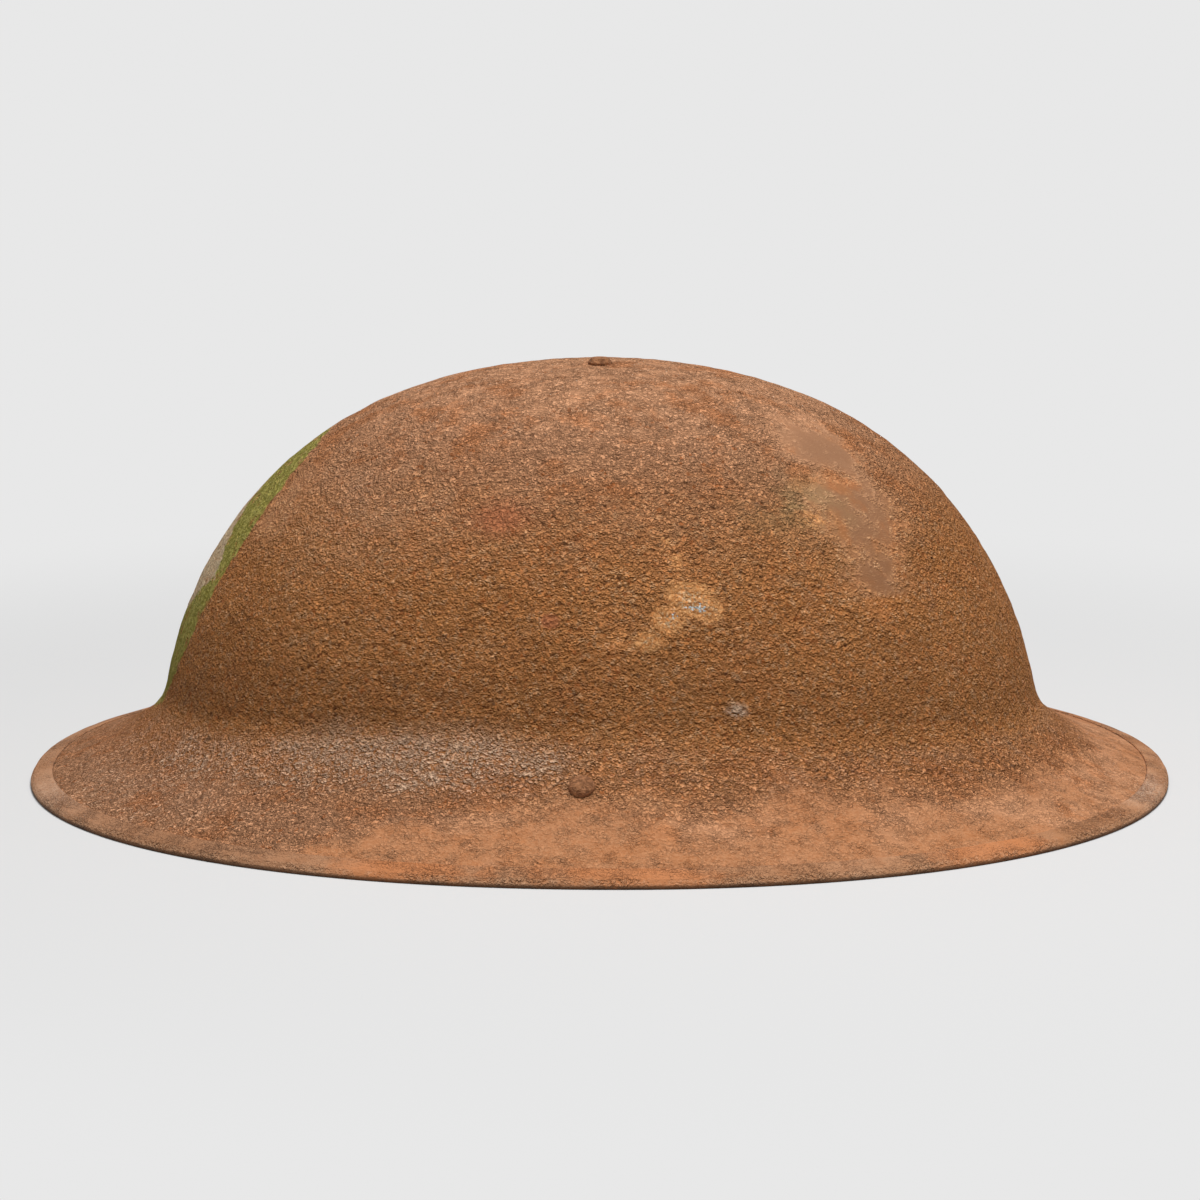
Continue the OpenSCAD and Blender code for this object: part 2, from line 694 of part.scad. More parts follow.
// A strap half, seen from above: straight at its rivet, then a quarter of an ellipse
strap_points = 28;
strap_lead = loop_w / 2 + soft_gap;
function strap_at(reach, f) =
    [bale_x + strap_lead + (reach - strap_lead) * sin(f), side_y * cos(f)];
function strap_out(reach, f) = unit([sin(f) / (reach - strap_lead), cos(f) / side_y]);
function strap_edge(reach, f, d) = strap_at(reach, f) + strap_out(reach, f) * d;
function strap_side(reach, end, side) = concat(
    [[bale_x - strap_end_w / 2, side_y + side * strap_t / 2]],
    [for (i = [0 : strap_points])
        strap_edge(reach, end * i / strap_points, side * strap_t / 2)]);
module raised() {
    translate([0, 0, pivot_z - strap_w / 2]) linear_extrude(strap_w) children();
}
taper_end = 14;
far = 400;
module end_outline() {
    translate([0, side_y + far / 4, 0])
    rotate([90, 0, 0])
    linear_extrude(far)
    union() {
        translate([bale_x, pivot_z]) circle(d = strap_end_w);
        polygon([
            [bale_x, pivot_z - strap_end_w / 2],
            [bale_x + strap_end_w / 2, pivot_z - strap_end_w / 2],
            [bale_x + taper_end, pivot_z - strap_w / 2 - seat],
            [bale_x + far, pivot_z - strap_w / 2 - seat],
            [bale_x + far, pivot_z + strap_w / 2 + seat],
            [bale_x + taper_end, pivot_z + strap_w / 2 + seat],
            [bale_x + strap_end_w / 2, pivot_z + strap_end_w / 2],
            [bale_x, pivot_z + strap_end_w / 2]]);
    }
}

// Free half: its round tip lies past the middle, just inside the buckle half
free_reach = strap_reach - strap_stagger;
tip_angle = 90 + asin(strap_tip / side_y);
module tip_outline() {
    tip_y = strap_w / 2 - strap_tip;
    translate([bale_x - far / 2, 0, 0])
    rotate([90, 0, 90])
    linear_extrude(far)
    union() {
        translate([tip_y, pivot_z]) circle(d = strap_w + seat);
        translate([tip_y, pivot_z - strap_w]) square([far, strap_w * 2]);
    }
}
module right_strap() {
    color("sienna")
    difference() {
        intersection() {
            raised()
            polygon(concat(
                strap_side(free_reach, tip_angle, 1),
                reversed(strap_side(free_reach, tip_angle, -1))));
            end_outline();
            tip_outline();
        }
        pivot_hole(run_gap);
    }
}

// Buckle half: its end goes round the frame's bar and back on the outer side
bar_angle = acos(buckle_len / 2 / side_y);
bar_r = buckle_wire_d / 2;
fold_in = bar_r + soft_gap / 2;
buckle_bar = strap_edge(strap_reach, bar_angle, strap_t / 2 + fold_in);
flat_in = 10;
layer = strap_t + seat;
function fold_angle(s) = bar_angle - s / strap_reach * 180 / PI;
function fold_offset(s) =
    layer + (fold_in * 2 - seat) * (1 + cos(180 * min(1, s / flat_in))) / 2;
fold_points = 12;
function fold_line(side) = [for (i = [0 : fold_points]) let (s = fold_len * i / fold_points)
    strap_edge(strap_reach, fold_angle(s), fold_offset(s) + side * strap_t / 2)];
bar_out = strap_out(strap_reach, bar_angle);
bar_steps = 12;
function round_bar(r) = [for (i = [1 : bar_steps - 1])
    let (a = atan2(bar_out[1], bar_out[0]) - 180 * (1 - i / bar_steps))
    buckle_bar + r * [cos(a), sin(a)]];
module at_fold_rivet() {
    f = fold_angle(fold_rivet_at);
    at = strap_at(strap_reach, f);
    out = strap_out(strap_reach, f);
    translate([at[0], at[1], pivot_z])
    rotate([0, 0, atan2(out[1], out[0])])
    rotate([0, 90, 0])
    children();
}
module left_strap_body() {
    difference() {
        intersection() {
            raised()
            polygon(concat(
                strap_side(strap_reach, bar_angle, 1),
                round_bar(fold_in),
                fold_line(-1),
                reversed(fold_line(1)),
                reversed(round_bar(fold_in + strap_t)),
                reversed(strap_side(strap_reach, bar_angle, -1))));
            end_outline();
        }
        pivot_hole(run_gap);
        at_fold_rivet()
        translate([0, 0, -strap_t * 2])
        cylinder(r = fold_rivet_d / 2 + seat / 2, h = strap_t * 6);
    }
}
module left_strap() {
    color("sienna") mirror([0, 1, 0]) left_strap_body();
}
module fold_rivet() {
    low = strap_t / 2 + seat;
    high = layer + strap_t / 2 + seat;
    color("darkgoldenrod")
    mirror([0, 1, 0])
    at_fold_rivet()
    rotate_extrude()
    polygon([
        [0, -low - flat_head_t],
        [fold_head_d / 2 - flat_head_t / 2, -low - flat_head_t],
        [fold_head_d / 2, -low],
        [fold_rivet_d / 2, -low],
        [fold_rivet_d / 2, high],
        [fold_head_d / 2, high],
        [fold_head_d / 2 - flat_head_t / 2, high + flat_head_t],
        [0, high + flat_head_t]]);
}

// Buckle frame, flat across the rear of the helmet, and the bar that slides on its rails
rail_z = strap_w / 2 + soft_gap + bar_r;
module buckle_frame() {
    x = buckle_bar[0];
    y0 = -buckle_bar[1];
    y1 = y0 + buckle_len;
    color("gray")
    wire_rectangle([
        [x, y0, pivot_z - rail_z],
        [x, y0, pivot_z + rail_z],
        [x, y1, pivot_z + rail_z],
        [x, y1, pivot_z - rail_z]], buckle_wire_d);
}
sleeve_in = bar_r + run_gap;
slider_y = -buckle_bar[1] + fold_in + strap_t + soft_gap + sleeve_len / 2;
module buckle_slider() {
    x = buckle_bar[0];
    color("gray")
    difference() {
        union() {
            for (side = [-1, 1])
                translate([x, slider_y + sleeve_len / 2, pivot_z + side * rail_z])
                rotate([90, 0, 0])
                cylinder(r = sleeve_in + sleeve_t, h = sleeve_len);
            translate([x - slider_t / 2, slider_y - slider_w / 2, pivot_z - rail_z])
            cube([slider_t, slider_w, rail_z * 2]);
        }
        for (side = [-1, 1])
            translate([x, slider_y + sleeve_len, pivot_z + side * rail_z])
            rotate([90, 0, 0])
            cylinder(r = sleeve_in, h = sleeve_len * 2);
    }
}

// Keeper: a leather loop round the buckle half, wide enough for both halves
keeper_angle = fold_angle(fold_len + keeper_gap + keeper_w / 2);
module rounded(w, h, r) {
    translate([-w / 2 + r, -h / 2]) square([w - r * 2, h]);
    translate([-w / 2, -h / 2 + r]) square([w, h - r * 2]);
    for (x = [-1, 1], y = [-1, 1])
        translate([x * (w / 2 - r), y * (h / 2 - r)]) circle(r = r);
}
module strap_keeper() {
    at = strap_at(strap_reach, keeper_angle);
    out = strap_out(strap_reach, keeper_angle);
    inner_t = strap_t * 2 + soft_gap * 3;
    inner_w = strap_w + soft_gap * 2;
    color("sienna")
    mirror([0, 1, 0])
    translate([at[0], at[1], pivot_z])
    rotate([0, 0, atan2(out[1], out[0])])
    translate([inner_t / 2 - strap_t / 2 - soft_gap, keeper_w / 2, 0])
    rotate([90, 0, 0])
    linear_extrude(keeper_w)
    difference() {
        rounded(inner_t + keeper_t * 2, inner_w + keeper_t * 2, keeper_t);
        square([inner_t, inner_w], center = true);
    }
}

steel_shell();
rim_binding();
crown_rivet();
crown_pad();
liner_cap();
crown_patch();
crown_washer();
felt_band();
liner_band();
rubber_buffers();
buffer_cord();
buffer_tabs();
head_net();
net_hem();
net_drawstring();
left_clip();
right_clip();
left_clip_rivet();
right_clip_rivet();
left_bale();
right_bale();
left_strap_loop();
right_strap_loop();
left_loop_rivet();
right_loop_rivet();
left_strap();
right_strap();
buckle_frame();
buckle_slider();
fold_rivet();
strap_keeper();
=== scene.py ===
"""The looks of the brodie helmet: fine shell, liner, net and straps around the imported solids."""
import json
from functools import partial
from math import asin, atan2, cos, pi, radians, sin, sqrt, tau

import bpy
import numpy as np
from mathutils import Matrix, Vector, noise


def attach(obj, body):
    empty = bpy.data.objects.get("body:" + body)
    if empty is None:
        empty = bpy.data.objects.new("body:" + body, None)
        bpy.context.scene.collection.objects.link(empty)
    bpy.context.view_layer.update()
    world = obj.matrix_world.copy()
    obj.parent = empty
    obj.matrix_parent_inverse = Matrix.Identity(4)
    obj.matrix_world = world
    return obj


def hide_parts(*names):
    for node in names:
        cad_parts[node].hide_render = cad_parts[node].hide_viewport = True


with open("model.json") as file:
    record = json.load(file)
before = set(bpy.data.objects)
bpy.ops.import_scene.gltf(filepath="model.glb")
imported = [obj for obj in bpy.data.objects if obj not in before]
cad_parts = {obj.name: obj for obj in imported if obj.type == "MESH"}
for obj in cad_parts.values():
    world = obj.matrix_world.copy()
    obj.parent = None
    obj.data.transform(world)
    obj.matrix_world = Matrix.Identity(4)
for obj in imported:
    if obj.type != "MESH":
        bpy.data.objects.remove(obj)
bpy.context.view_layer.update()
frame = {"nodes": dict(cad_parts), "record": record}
NODES = frame["nodes"]
MM = 0.001


def placed(name, data):
    obj = bpy.data.objects.new(name, data)
    bpy.context.collection.objects.link(obj)
    return obj


def aim(obj, place, target):
    obj.location = place
    obj.rotation_euler = (Vector(target) - obj.location).to_track_quat("-Z", "Y").to_euler()


# Camera at the photograph's viewing angle
camera_data = bpy.data.cameras.new("camera")
camera = placed("camera", camera_data)
camera_data.sensor_width = 36
camera_data.sensor_fit = "HORIZONTAL"
camera_data.lens = 201.53
camera_data.clip_end = 20
aim(camera, (0.138, -1.7671, 0.361), (0, 0, 0.0477))
scene = bpy.context.scene
scene.camera = camera
scene.view_settings.view_transform = "Standard"


class Value:
    """A node's output, with plus, minus and times."""

    def __init__(self, look, socket):
        self.look = look
        self.socket = socket

    def __add__(self, other):
        return self.look.math("ADD", self, other)

    def __sub__(self, other):
        return self.look.math("SUBTRACT", self, other)

    def __mul__(self, other):
        return self.look.math("MULTIPLY", self, other)

    def fit(self, low, high, to_low, to_high):
        """to_low to to_high, smoothly, as this goes from low to high."""
        return self.look.add("ShaderNodeMapRange", {
            "Value": self, "From Min": low, "From Max": high, "To Min": to_low, "To Max": to_high},
            interpolation_type="SMOOTHSTEP")

    def rise(self, low, high, top=1.0):
        """0 to top, smoothly, as this goes from low to high."""
        return self.fit(low, high, 0.0, top)

    def mix(self, factor, other):
        return self.look.mix(factor, self, other)


class Look:
    """A material made of nodes, whose textures use the object's own coordinates, in metres."""

    def __init__(self, name, owner=None):
        self.mat = owner or bpy.data.materials.new(name)
        self.mat.use_nodes = True
        self.tree = self.mat.node_tree
        self.tree.nodes.clear()
        self.place = self.add("ShaderNodeTexCoord", out="Object")

    def node(self, kind, inputs=None, **settings):
        node = self.tree.nodes.new(kind)
        for key, value in settings.items():
            setattr(node, key, value)
        for key, value in (inputs or {}).items():
            self.put(node.inputs[key], value)
        return node

    def add(self, kind, inputs=None, out=0, **settings):
        return Value(self, self.node(kind, inputs, **settings).outputs[out])

    def put(self, socket, value):
        if isinstance(value, Value):
            self.tree.links.new(value.socket, socket)
        elif socket.type == "RGBA" and len(value) == 3:
            socket.default_value = (*value, 1)
        else:
            socket.default_value = value

    def math(self, operation, *values):
        return self.add("ShaderNodeMath", dict(enumerate(values)), operation=operation)

    def noise(self, size, detail=2.0, rough=0.5, stretch=None):
        """Noise whose features are about size millimetres wide."""
        at = self.place
        if stretch:
            at = self.add("ShaderNodeMapping", {"Vector": at, "Scale": stretch})
        return self.add("ShaderNodeTexNoise", {
            "Vector": at, "Scale": 1000 / size, "Detail": detail, "Roughness": rough})

    def cells(self, size, at=None):
        """Cells about size millimetres wide: the distance from their middles, and a random colour."""
        node = self.node("ShaderNodeTexVoronoi", {"Vector": at or self.place, "Scale": 1000 / size})
        return Value(self, node.outputs["Distance"]), Value(self, node.outputs["Color"])

    def cracks(self, size, at):
        """Distance from the edges of cells about size millimetres wide."""
        return self.add("ShaderNodeTexVoronoi", {"Vector": at, "Scale": 1000 / size}, out="Distance",
                        feature="DISTANCE_TO_EDGE")

    def warped(self, size, amount):
        """The place, pushed about by noise: size and amount are in millimetres."""
        vector_math = "ShaderNodeVectorMath"
        push = self.add("ShaderNodeTexNoise", {"Vector": self.place, "Scale": 1000 / size}, out="Color")
        centred = self.add(vector_math, {0: push, 1: (0.5, 0.5, 0.5)}, operation="SUBTRACT")
        scaled = self.add(vector_math, {0: centred, "Scale": amount * MM * 2}, operation="SCALE")
        return self.add(vector_math, {0: self.place, 1: scaled}, operation="ADD")

    def mix(self, factor, a, b):
        return self.add("ShaderNodeMix", {0: factor, 6: a, 7: b}, out=2, data_type="RGBA")

    def ramp(self, factor, *stops):
        node = self.node("ShaderNodeValToRGB", {"Fac": factor})
        ramp = node.color_ramp
        while len(ramp.elements) < len(stops):
            ramp.elements.new(0.5)
        for element, (place, colour) in zip(ramp.elements, stops):
            element.position = place
            element.color = (*colour, 1)
        return Value(self, node.outputs[0])

    def mask(self, name):
        return self.add("ShaderNodeAttribute", out="Fac", attribute_name=name)

    def apart(self, vector):
        return [Value(self, out) for out in self.node("ShaderNodeSeparateXYZ", {0: vector}).outputs]

    def bump(self, height, depth, under=None):
        """depth is the millimetres that a height of 1 stands proud."""
        inputs = {"Height": height, "Strength": 1.0, "Distance": depth * MM}
        if under:
            inputs["Normal"] = under
        return self.add("ShaderNodeBump", inputs)

    def done(self, colour, rough, normal, specular=0.5, **others):
        inputs = {"Base Color": colour, "Roughness": rough, "Normal": normal, "Specular IOR Level": specular}
        inputs.update((key.replace("_", " "), value) for key, value in others.items())
        return self.shown(self.add("ShaderNodeBsdfPrincipled", inputs))

    def shown(self, shader, output="ShaderNodeOutputMaterial"):
        self.node(output, {0: shader})
        return self.mat


# Mesh helpers, in millimetres
def piece(name, points, faces, slot, body="helmet", replaces=(), masks=None):
    mesh = bpy.data.meshes.new(name)
    mesh.from_pydata((np.reshape(points, (-1, 3)) * MM).tolist(), [], faces)
    mesh.polygons.foreach_set("use_smooth", [True] * len(mesh.polygons))
    for key, values in (masks or {}).items():
        layer = mesh.attributes.new(key, "FLOAT", "POINT")
        layer.data.foreach_set("value", np.ravel(values).astype(np.float32))
    mesh.update()
    obj = placed(name, mesh)
    mesh.materials.append(LOOKS[slot])
    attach(obj, body)
    if replaces:
        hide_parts(*replaces)
    return obj


def grid_faces(rows, columns, closed_rows=False):
    """Faces between closed rows of points; closed_rows joins the last row to the first."""
    faces = []
    for i in range(rows if closed_rows else rows - 1):
        a = i * columns
        b = (i + 1) % rows * columns
        for j in range(columns):
            k = (j + 1) % columns
            faces.append((a + j, a + k, b + k, b + j))
    return faces


def capped_faces(rows, columns):
    """Faces between rows of points round a strip, with its two ends closed."""
    ends = [tuple(range(columns - 1, -1, -1)), tuple(range((rows - 1) * columns, rows * columns))]
    return grid_faces(rows, columns) + ends


def flipped(faces):
    return [face[::-1] for face in faces]


def unit(vectors):
    return vectors / np.linalg.norm(vectors, axis=-1, keepdims=True)


def turned(r, z, t):
    """Points at radius r and height z, turned by t about the Z axis."""
    return np.stack([r * np.cos(t), r * np.sin(t), z + 0 * r], axis=-1)


def distances(path):
    """Distance of each point along the path from its start."""
    steps = np.linalg.norm(np.diff(path, axis=0), axis=1)
    return np.concatenate([[0], np.cumsum(steps)])


def beside(path):
    """Unit directions to the left of a path of two coordinates."""
    along = unit(np.gradient(path, axis=0))
    return np.stack([-along[:, 1], along[:, 0]], axis=-1)


def lumps(points, size, octaves):
    """Noise from about -1 to 1 at points, with features about size millimetres wide."""
    values = [noise.fractal(Vector(p) / size, 1.0, 2.0, octaves) for p in points.reshape(-1, 3)]
    return np.reshape(values, points.shape[:-1])


# Shape of the steel, as in the part's source
RIM_LEN, RIM_WID, RIM_SQUARE = 305, 287, 2.1
SHELL_H = 111.5
FOOT_LEN, FOOT_WID = 235, 202.5
FOOT_H_END, FOOT_H_SIDE = 19.5, 29
FULLNESS = 2.3
DOME_TUCK = 27
BRIM_SWEEP, BRIM_CURL = 0.55, 0.2
FOOT_FILLET = 5.5
WALL = 0.9
BIND_W, BIND_T = 6, 0.5
SEAT = 0.1
EDGE_TOP = WALL + SEAT + BIND_T
CROWN_HOLE_R = 1.7


def around(count):
    return np.arange(count) * tau / count


def polar(a, b, power, t):
    return (np.abs(np.cos(t) / a) ** power + np.abs(np.sin(t) / b) ** power) ** (-1 / power)


def foot_r(t):
    return polar(FOOT_LEN / 2, FOOT_WID / 2, 2, t)


def rim_r(t):
    return polar(RIM_LEN / 2, RIM_WID / 2, RIM_SQUARE, t)


def foot_z(t):
    return FOOT_H_END * np.cos(t) ** 2 + FOOT_H_SIDE * np.sin(t) ** 2


def waist_z(t):
    return foot_z(t) - DOME_TUCK


def dome_h(t):
    return SHELL_H - waist_z(t)


def bulge(x):
    return np.maximum(1 - x ** FULLNESS, 0) ** (1 / FULLNESS)


def waist_r(t):
    return foot_r(t) / bulge(DOME_TUCK / dome_h(t))


def dome_r(z, t):
    return waist_r(t) * bulge((z - waist_z(t)) / dome_h(t))


def dome_z(r, t):
    return waist_z(t) + dome_h(t) * bulge(r / waist_r(t))


def dome_end(t):
    return np.arccos(((DOME_TUCK + FOOT_FILLET) / dome_h(t)) ** (FULLNESS / 2))


def brim_rz(w, t):
    """Brim from the dome's foot, w = 0, to the rim, w = 1."""
    fall = w + (BRIM_SWEEP + BRIM_CURL * (1 - 2 * w)) * w * (1 - w)
    return foot_r(t) + (rim_r(t) - foot_r(t)) * w, foot_z(t) + (EDGE_TOP - foot_z(t)) * fall


def shell_rz(v, t):
    """v runs 0 to 1 down the dome, to 2 over the fillet and to 3 along the brim."""
    q = dome_end(t) * np.minimum(v, 1)
    dome = np.array([waist_r(t) * np.sin(q) ** (2 / FULLNESS),
                     waist_z(t) + dome_h(t) * np.cos(q) ** (2 / FULLNESS)])
    start = FOOT_FILLET / (rim_r(t) - foot_r(t))
    w = start + (1 - start) * np.maximum(v - 2, 0)
    brim = np.array(brim_rz(w, t))
    u = np.clip(v - 1, 0, 1)
    corner = np.array([foot_r(t) + 0 * u, foot_z(t) + 0 * u])
    fillet = dome * (1 - u) ** 2 + corner * 2 * u * (1 - u) + brim * u ** 2
    return np.where(v < 1, dome, np.where(v < 2, fillet, brim))


def shell_point(v, t):
    r, z = shell_rz(v, t)
    return turned(r, z, t)


def shell_normal(v, t):
    down = shell_point(v + 0.001, t) - shell_point(v - 0.001, t)
    round_ = shell_point(v, t + 0.01) - shell_point(v, t - 0.01)
    return unit(np.cross(down, round_))


def near(points, centre, size):
    """1 at a centre, falling to 0 at size millimetres from it."""
    away = np.linalg.norm((points - np.array(centre)) / np.array(size), axis=-1)
    return np.clip(1 - away, 0, 1)


def smooth_step(x, low, high):
    u = np.clip((x - low) / (high - low), 0, 1)
    return u * u * (3 - 2 * u)


# Painted sign on the front: a plain oval with a plain diamond in it
SIGN_AT = np.array([-float(dome_r(60.0, pi)), 0, 60.0])
SIGN_UP = np.array([float(dome_r(60.0, pi) - dome_r(62.0, pi)), 0, 2.0])
SIGN_UP /= np.linalg.norm(SIGN_UP)
SIGN_HALF = (34, 45)
DIAMOND = (30, 24)
SIGN_MEAN, DIAMOND_MEAN, SIGN_REACH = 38, 15, 20


def sign_masks(points):
    """About how far inside the oval and the diamond a point is, in millimetres."""
    across = points[:, 1]
    up = (points - SIGN_AT) @ SIGN_UP
    front = points[:, 0] < -20
    disc = (1 - np.hypot(across / SIGN_HALF[0], up / SIGN_HALF[1])) * SIGN_MEAN
    diamond = (1 - np.abs(across) / DIAMOND[0] - np.abs(up) / DIAMOND[1]) * DIAMOND_MEAN
    return [np.clip(np.where(front, inside, -SIGN_REACH), -SIGN_REACH, SIGN_REACH)
            for inside in (disc, diamond)]


# What the masks say on the shell's inside, where they aren't 0
INSIDE = {"grit": 0.55, "rust": 0.3, "bare": 0.95, "inner": 1, "disc": -SIGN_REACH, "diamond": -SIGN_REACH}


def shell_masks(points, row_v):
    """Where the finish is gritty, dusty, rusty or rubbed, from 0 to 1 for each point; the material also
    paints highlights on the dust and on the rubbed patch.
    """
    x, y, z = points.T
    at = partial(near, points)
    r = np.hypot(x, y)
    t = np.arctan2(y, x)
    out = np.clip((r - foot_r(t)) / (rim_r(t) - foot_r(t)), 0, 1) * (row_v > 1)
    wide = lumps(points, 28, 3)
    patchy = lumps(points + 50, 11, 3)
    start = 0.12 + 0.62 * smooth_step(-x, 5, 95)
    smooth_brim = smooth_step(out + 0.12 * wide + 0.1 * patchy, start, start + 0.4)
    grit = (1 - 0.7 * smooth_brim) * (1 - 0.45 * smooth_step(z, 88, 108))
    bare = np.maximum.reduce([
        1.1 * at((62, -32, 94), (24, 24, 20)), 1.3 * at((70, -47, 80), (24, 26, 24)),
        1.1 * at((76, -57, 66), (20, 22, 20)), 0.9 * at((-84, -38, 80), (20, 18, 22)),
        0.9 * at((10, -93.8, 52), (8, 6, 4)), 0.7 * at((-60, 62, 70), (24, 20, 20)),
        0.7 * at((75, 58, 60), (22, 22, 16))])
    bare = smooth_step(bare + 0.12 * patchy + 0.08 * wide, 0.0, 1.0)
    grit -= 1.1 * bare
    foot = smooth_step(out, 0.0, 0.08) * (1 - smooth_step(out, 0.2, 0.42))
    side = smooth_step(np.abs(y), 40, 95)
    dust = foot * (0.25 + 0.6 * side * smooth_step(-x, -20, 25)) + 0.3 * smooth_step(z, 96, 111)
    dust += at((-62, -92, 22), (36, 18, 12)) + at((-30, -101, 24), (34, 16, 11))
    dust += 0.75 * at((-112, -62, 8), (52, 70, 16)) + 0.3 * at((-60, -60, 84), (40, 36, 24))
    dust += 0.8 * at((142, -22, 4), (10, 24, 8))
    dust = np.clip(dust * (0.9 + 0.7 * patchy), 0, 1)
    rust = smooth_brim * (0.55 + 0.5 * wide) + 0.35 * smooth_step(wide, 0.1, 0.7)
    rust += at((-40, -131, 5), (34, 10, 8)) + at((20, -136, 4), (38, 10, 8))
    rust += at((109, -99, 3), (38, 26, 8)) + 0.9 * at((-100, 95, 5), (40, 34, 8))
    rose = 0.8 * at((-20, -75, 82), (14, 14, 9)) + 1.4 * at((-5.5, -92.4, 58.4), (3.6, 3, 2.8))
    # Rubbed patch, which the material also lightens as a painted highlight.
    rub = np.maximum.reduce([
        1.1 * at((29.6, -85.9, 63.4), (9.5, 7, 7.5)), at((34.5, -86.3, 60.8), (7.5, 6, 5)),
        at((24.5, -90.4, 58.8), (7.5, 6, 5.5)), 0.85 * at((19.5, -93.0, 53.6), (7.5, 5, 4)),
        0.5 * at((25.8, -81.5, 72.4), (5, 5, 6)), 0.45 * at((22.8, -78.5, 77.0), (3.5, 4, 5)),
        0.45 * at((59.5, -58.4, 79.8), (9, 8, 5)), 0.4 * at((-44, -99, 30), (4, 3, 3))])
    spark = at((25.8, -88.8, 59.9), (2.6, 2.5, 3.2)) + at((31.6, -86.6, 61.6), (7, 3, 2.4))
    dust = np.maximum(dust, 3 * at((42.2, -92.7, 36.0), (3.6, 3, 1.9)))
    green = 0.9 * at((55, -57, 83), (22, 22, 12)) + 0.6 * at((30, 70, 70), (30, 20, 16))
    fade = 0.85 * smooth_step(z + 4 * patchy, 62, 104) + 0.8 * smooth_step(out + 0.06 * wide, 0.06, 0.55)
    bare = bare * (z > 60)
    disc, diamond = sign_masks(points)
    return {"fade": np.clip(fade, 0, 0.9), "grit": np.clip(grit, -0.6, 1), "dust": dust,
            "rust": np.clip(rust, 0, 1), "rub": rub, "spark": spark, "stain": np.clip(green, 0, 1),
            "rose": np.clip(rose, 0, 1), "bare": bare, "disc": disc, "diamond": diamond}


def grit_height(look, grit):
    """Height of sand-like grit, 0 to about 1, a random colour for each grain, and how dense it is."""
    place = look.warped(0.8, 0.5)
    clumps = look.noise(5.5, 4, 0.62)
    dense = (clumps * 0.62 + grit * 0.34).rise(0.24, 0.72)
    worms = look.noise(1.0, 3, 0.62).rise(0.45, 0.57)
    flakes = look.noise(2.3, 4, 0.68).rise(0.47, 0.59)
    grain_at, shade = look.cells(0.95, at=place)
    grains = grain_at.rise(0.52, 0.1)
    height = worms * 0.55 + grains * 0.35
    height = (height + flakes * 0.55) * dense
    return height + look.noise(0.42, 2, 0.6) * 0.1, shade, dense


def facing_up(look, normal):
    """How much more a bumped face points up than the smooth face under it."""
    smooth = look.add("ShaderNodeNewGeometry", out="Normal")
    return look.apart(normal)[2] - look.apart(smooth)[2]


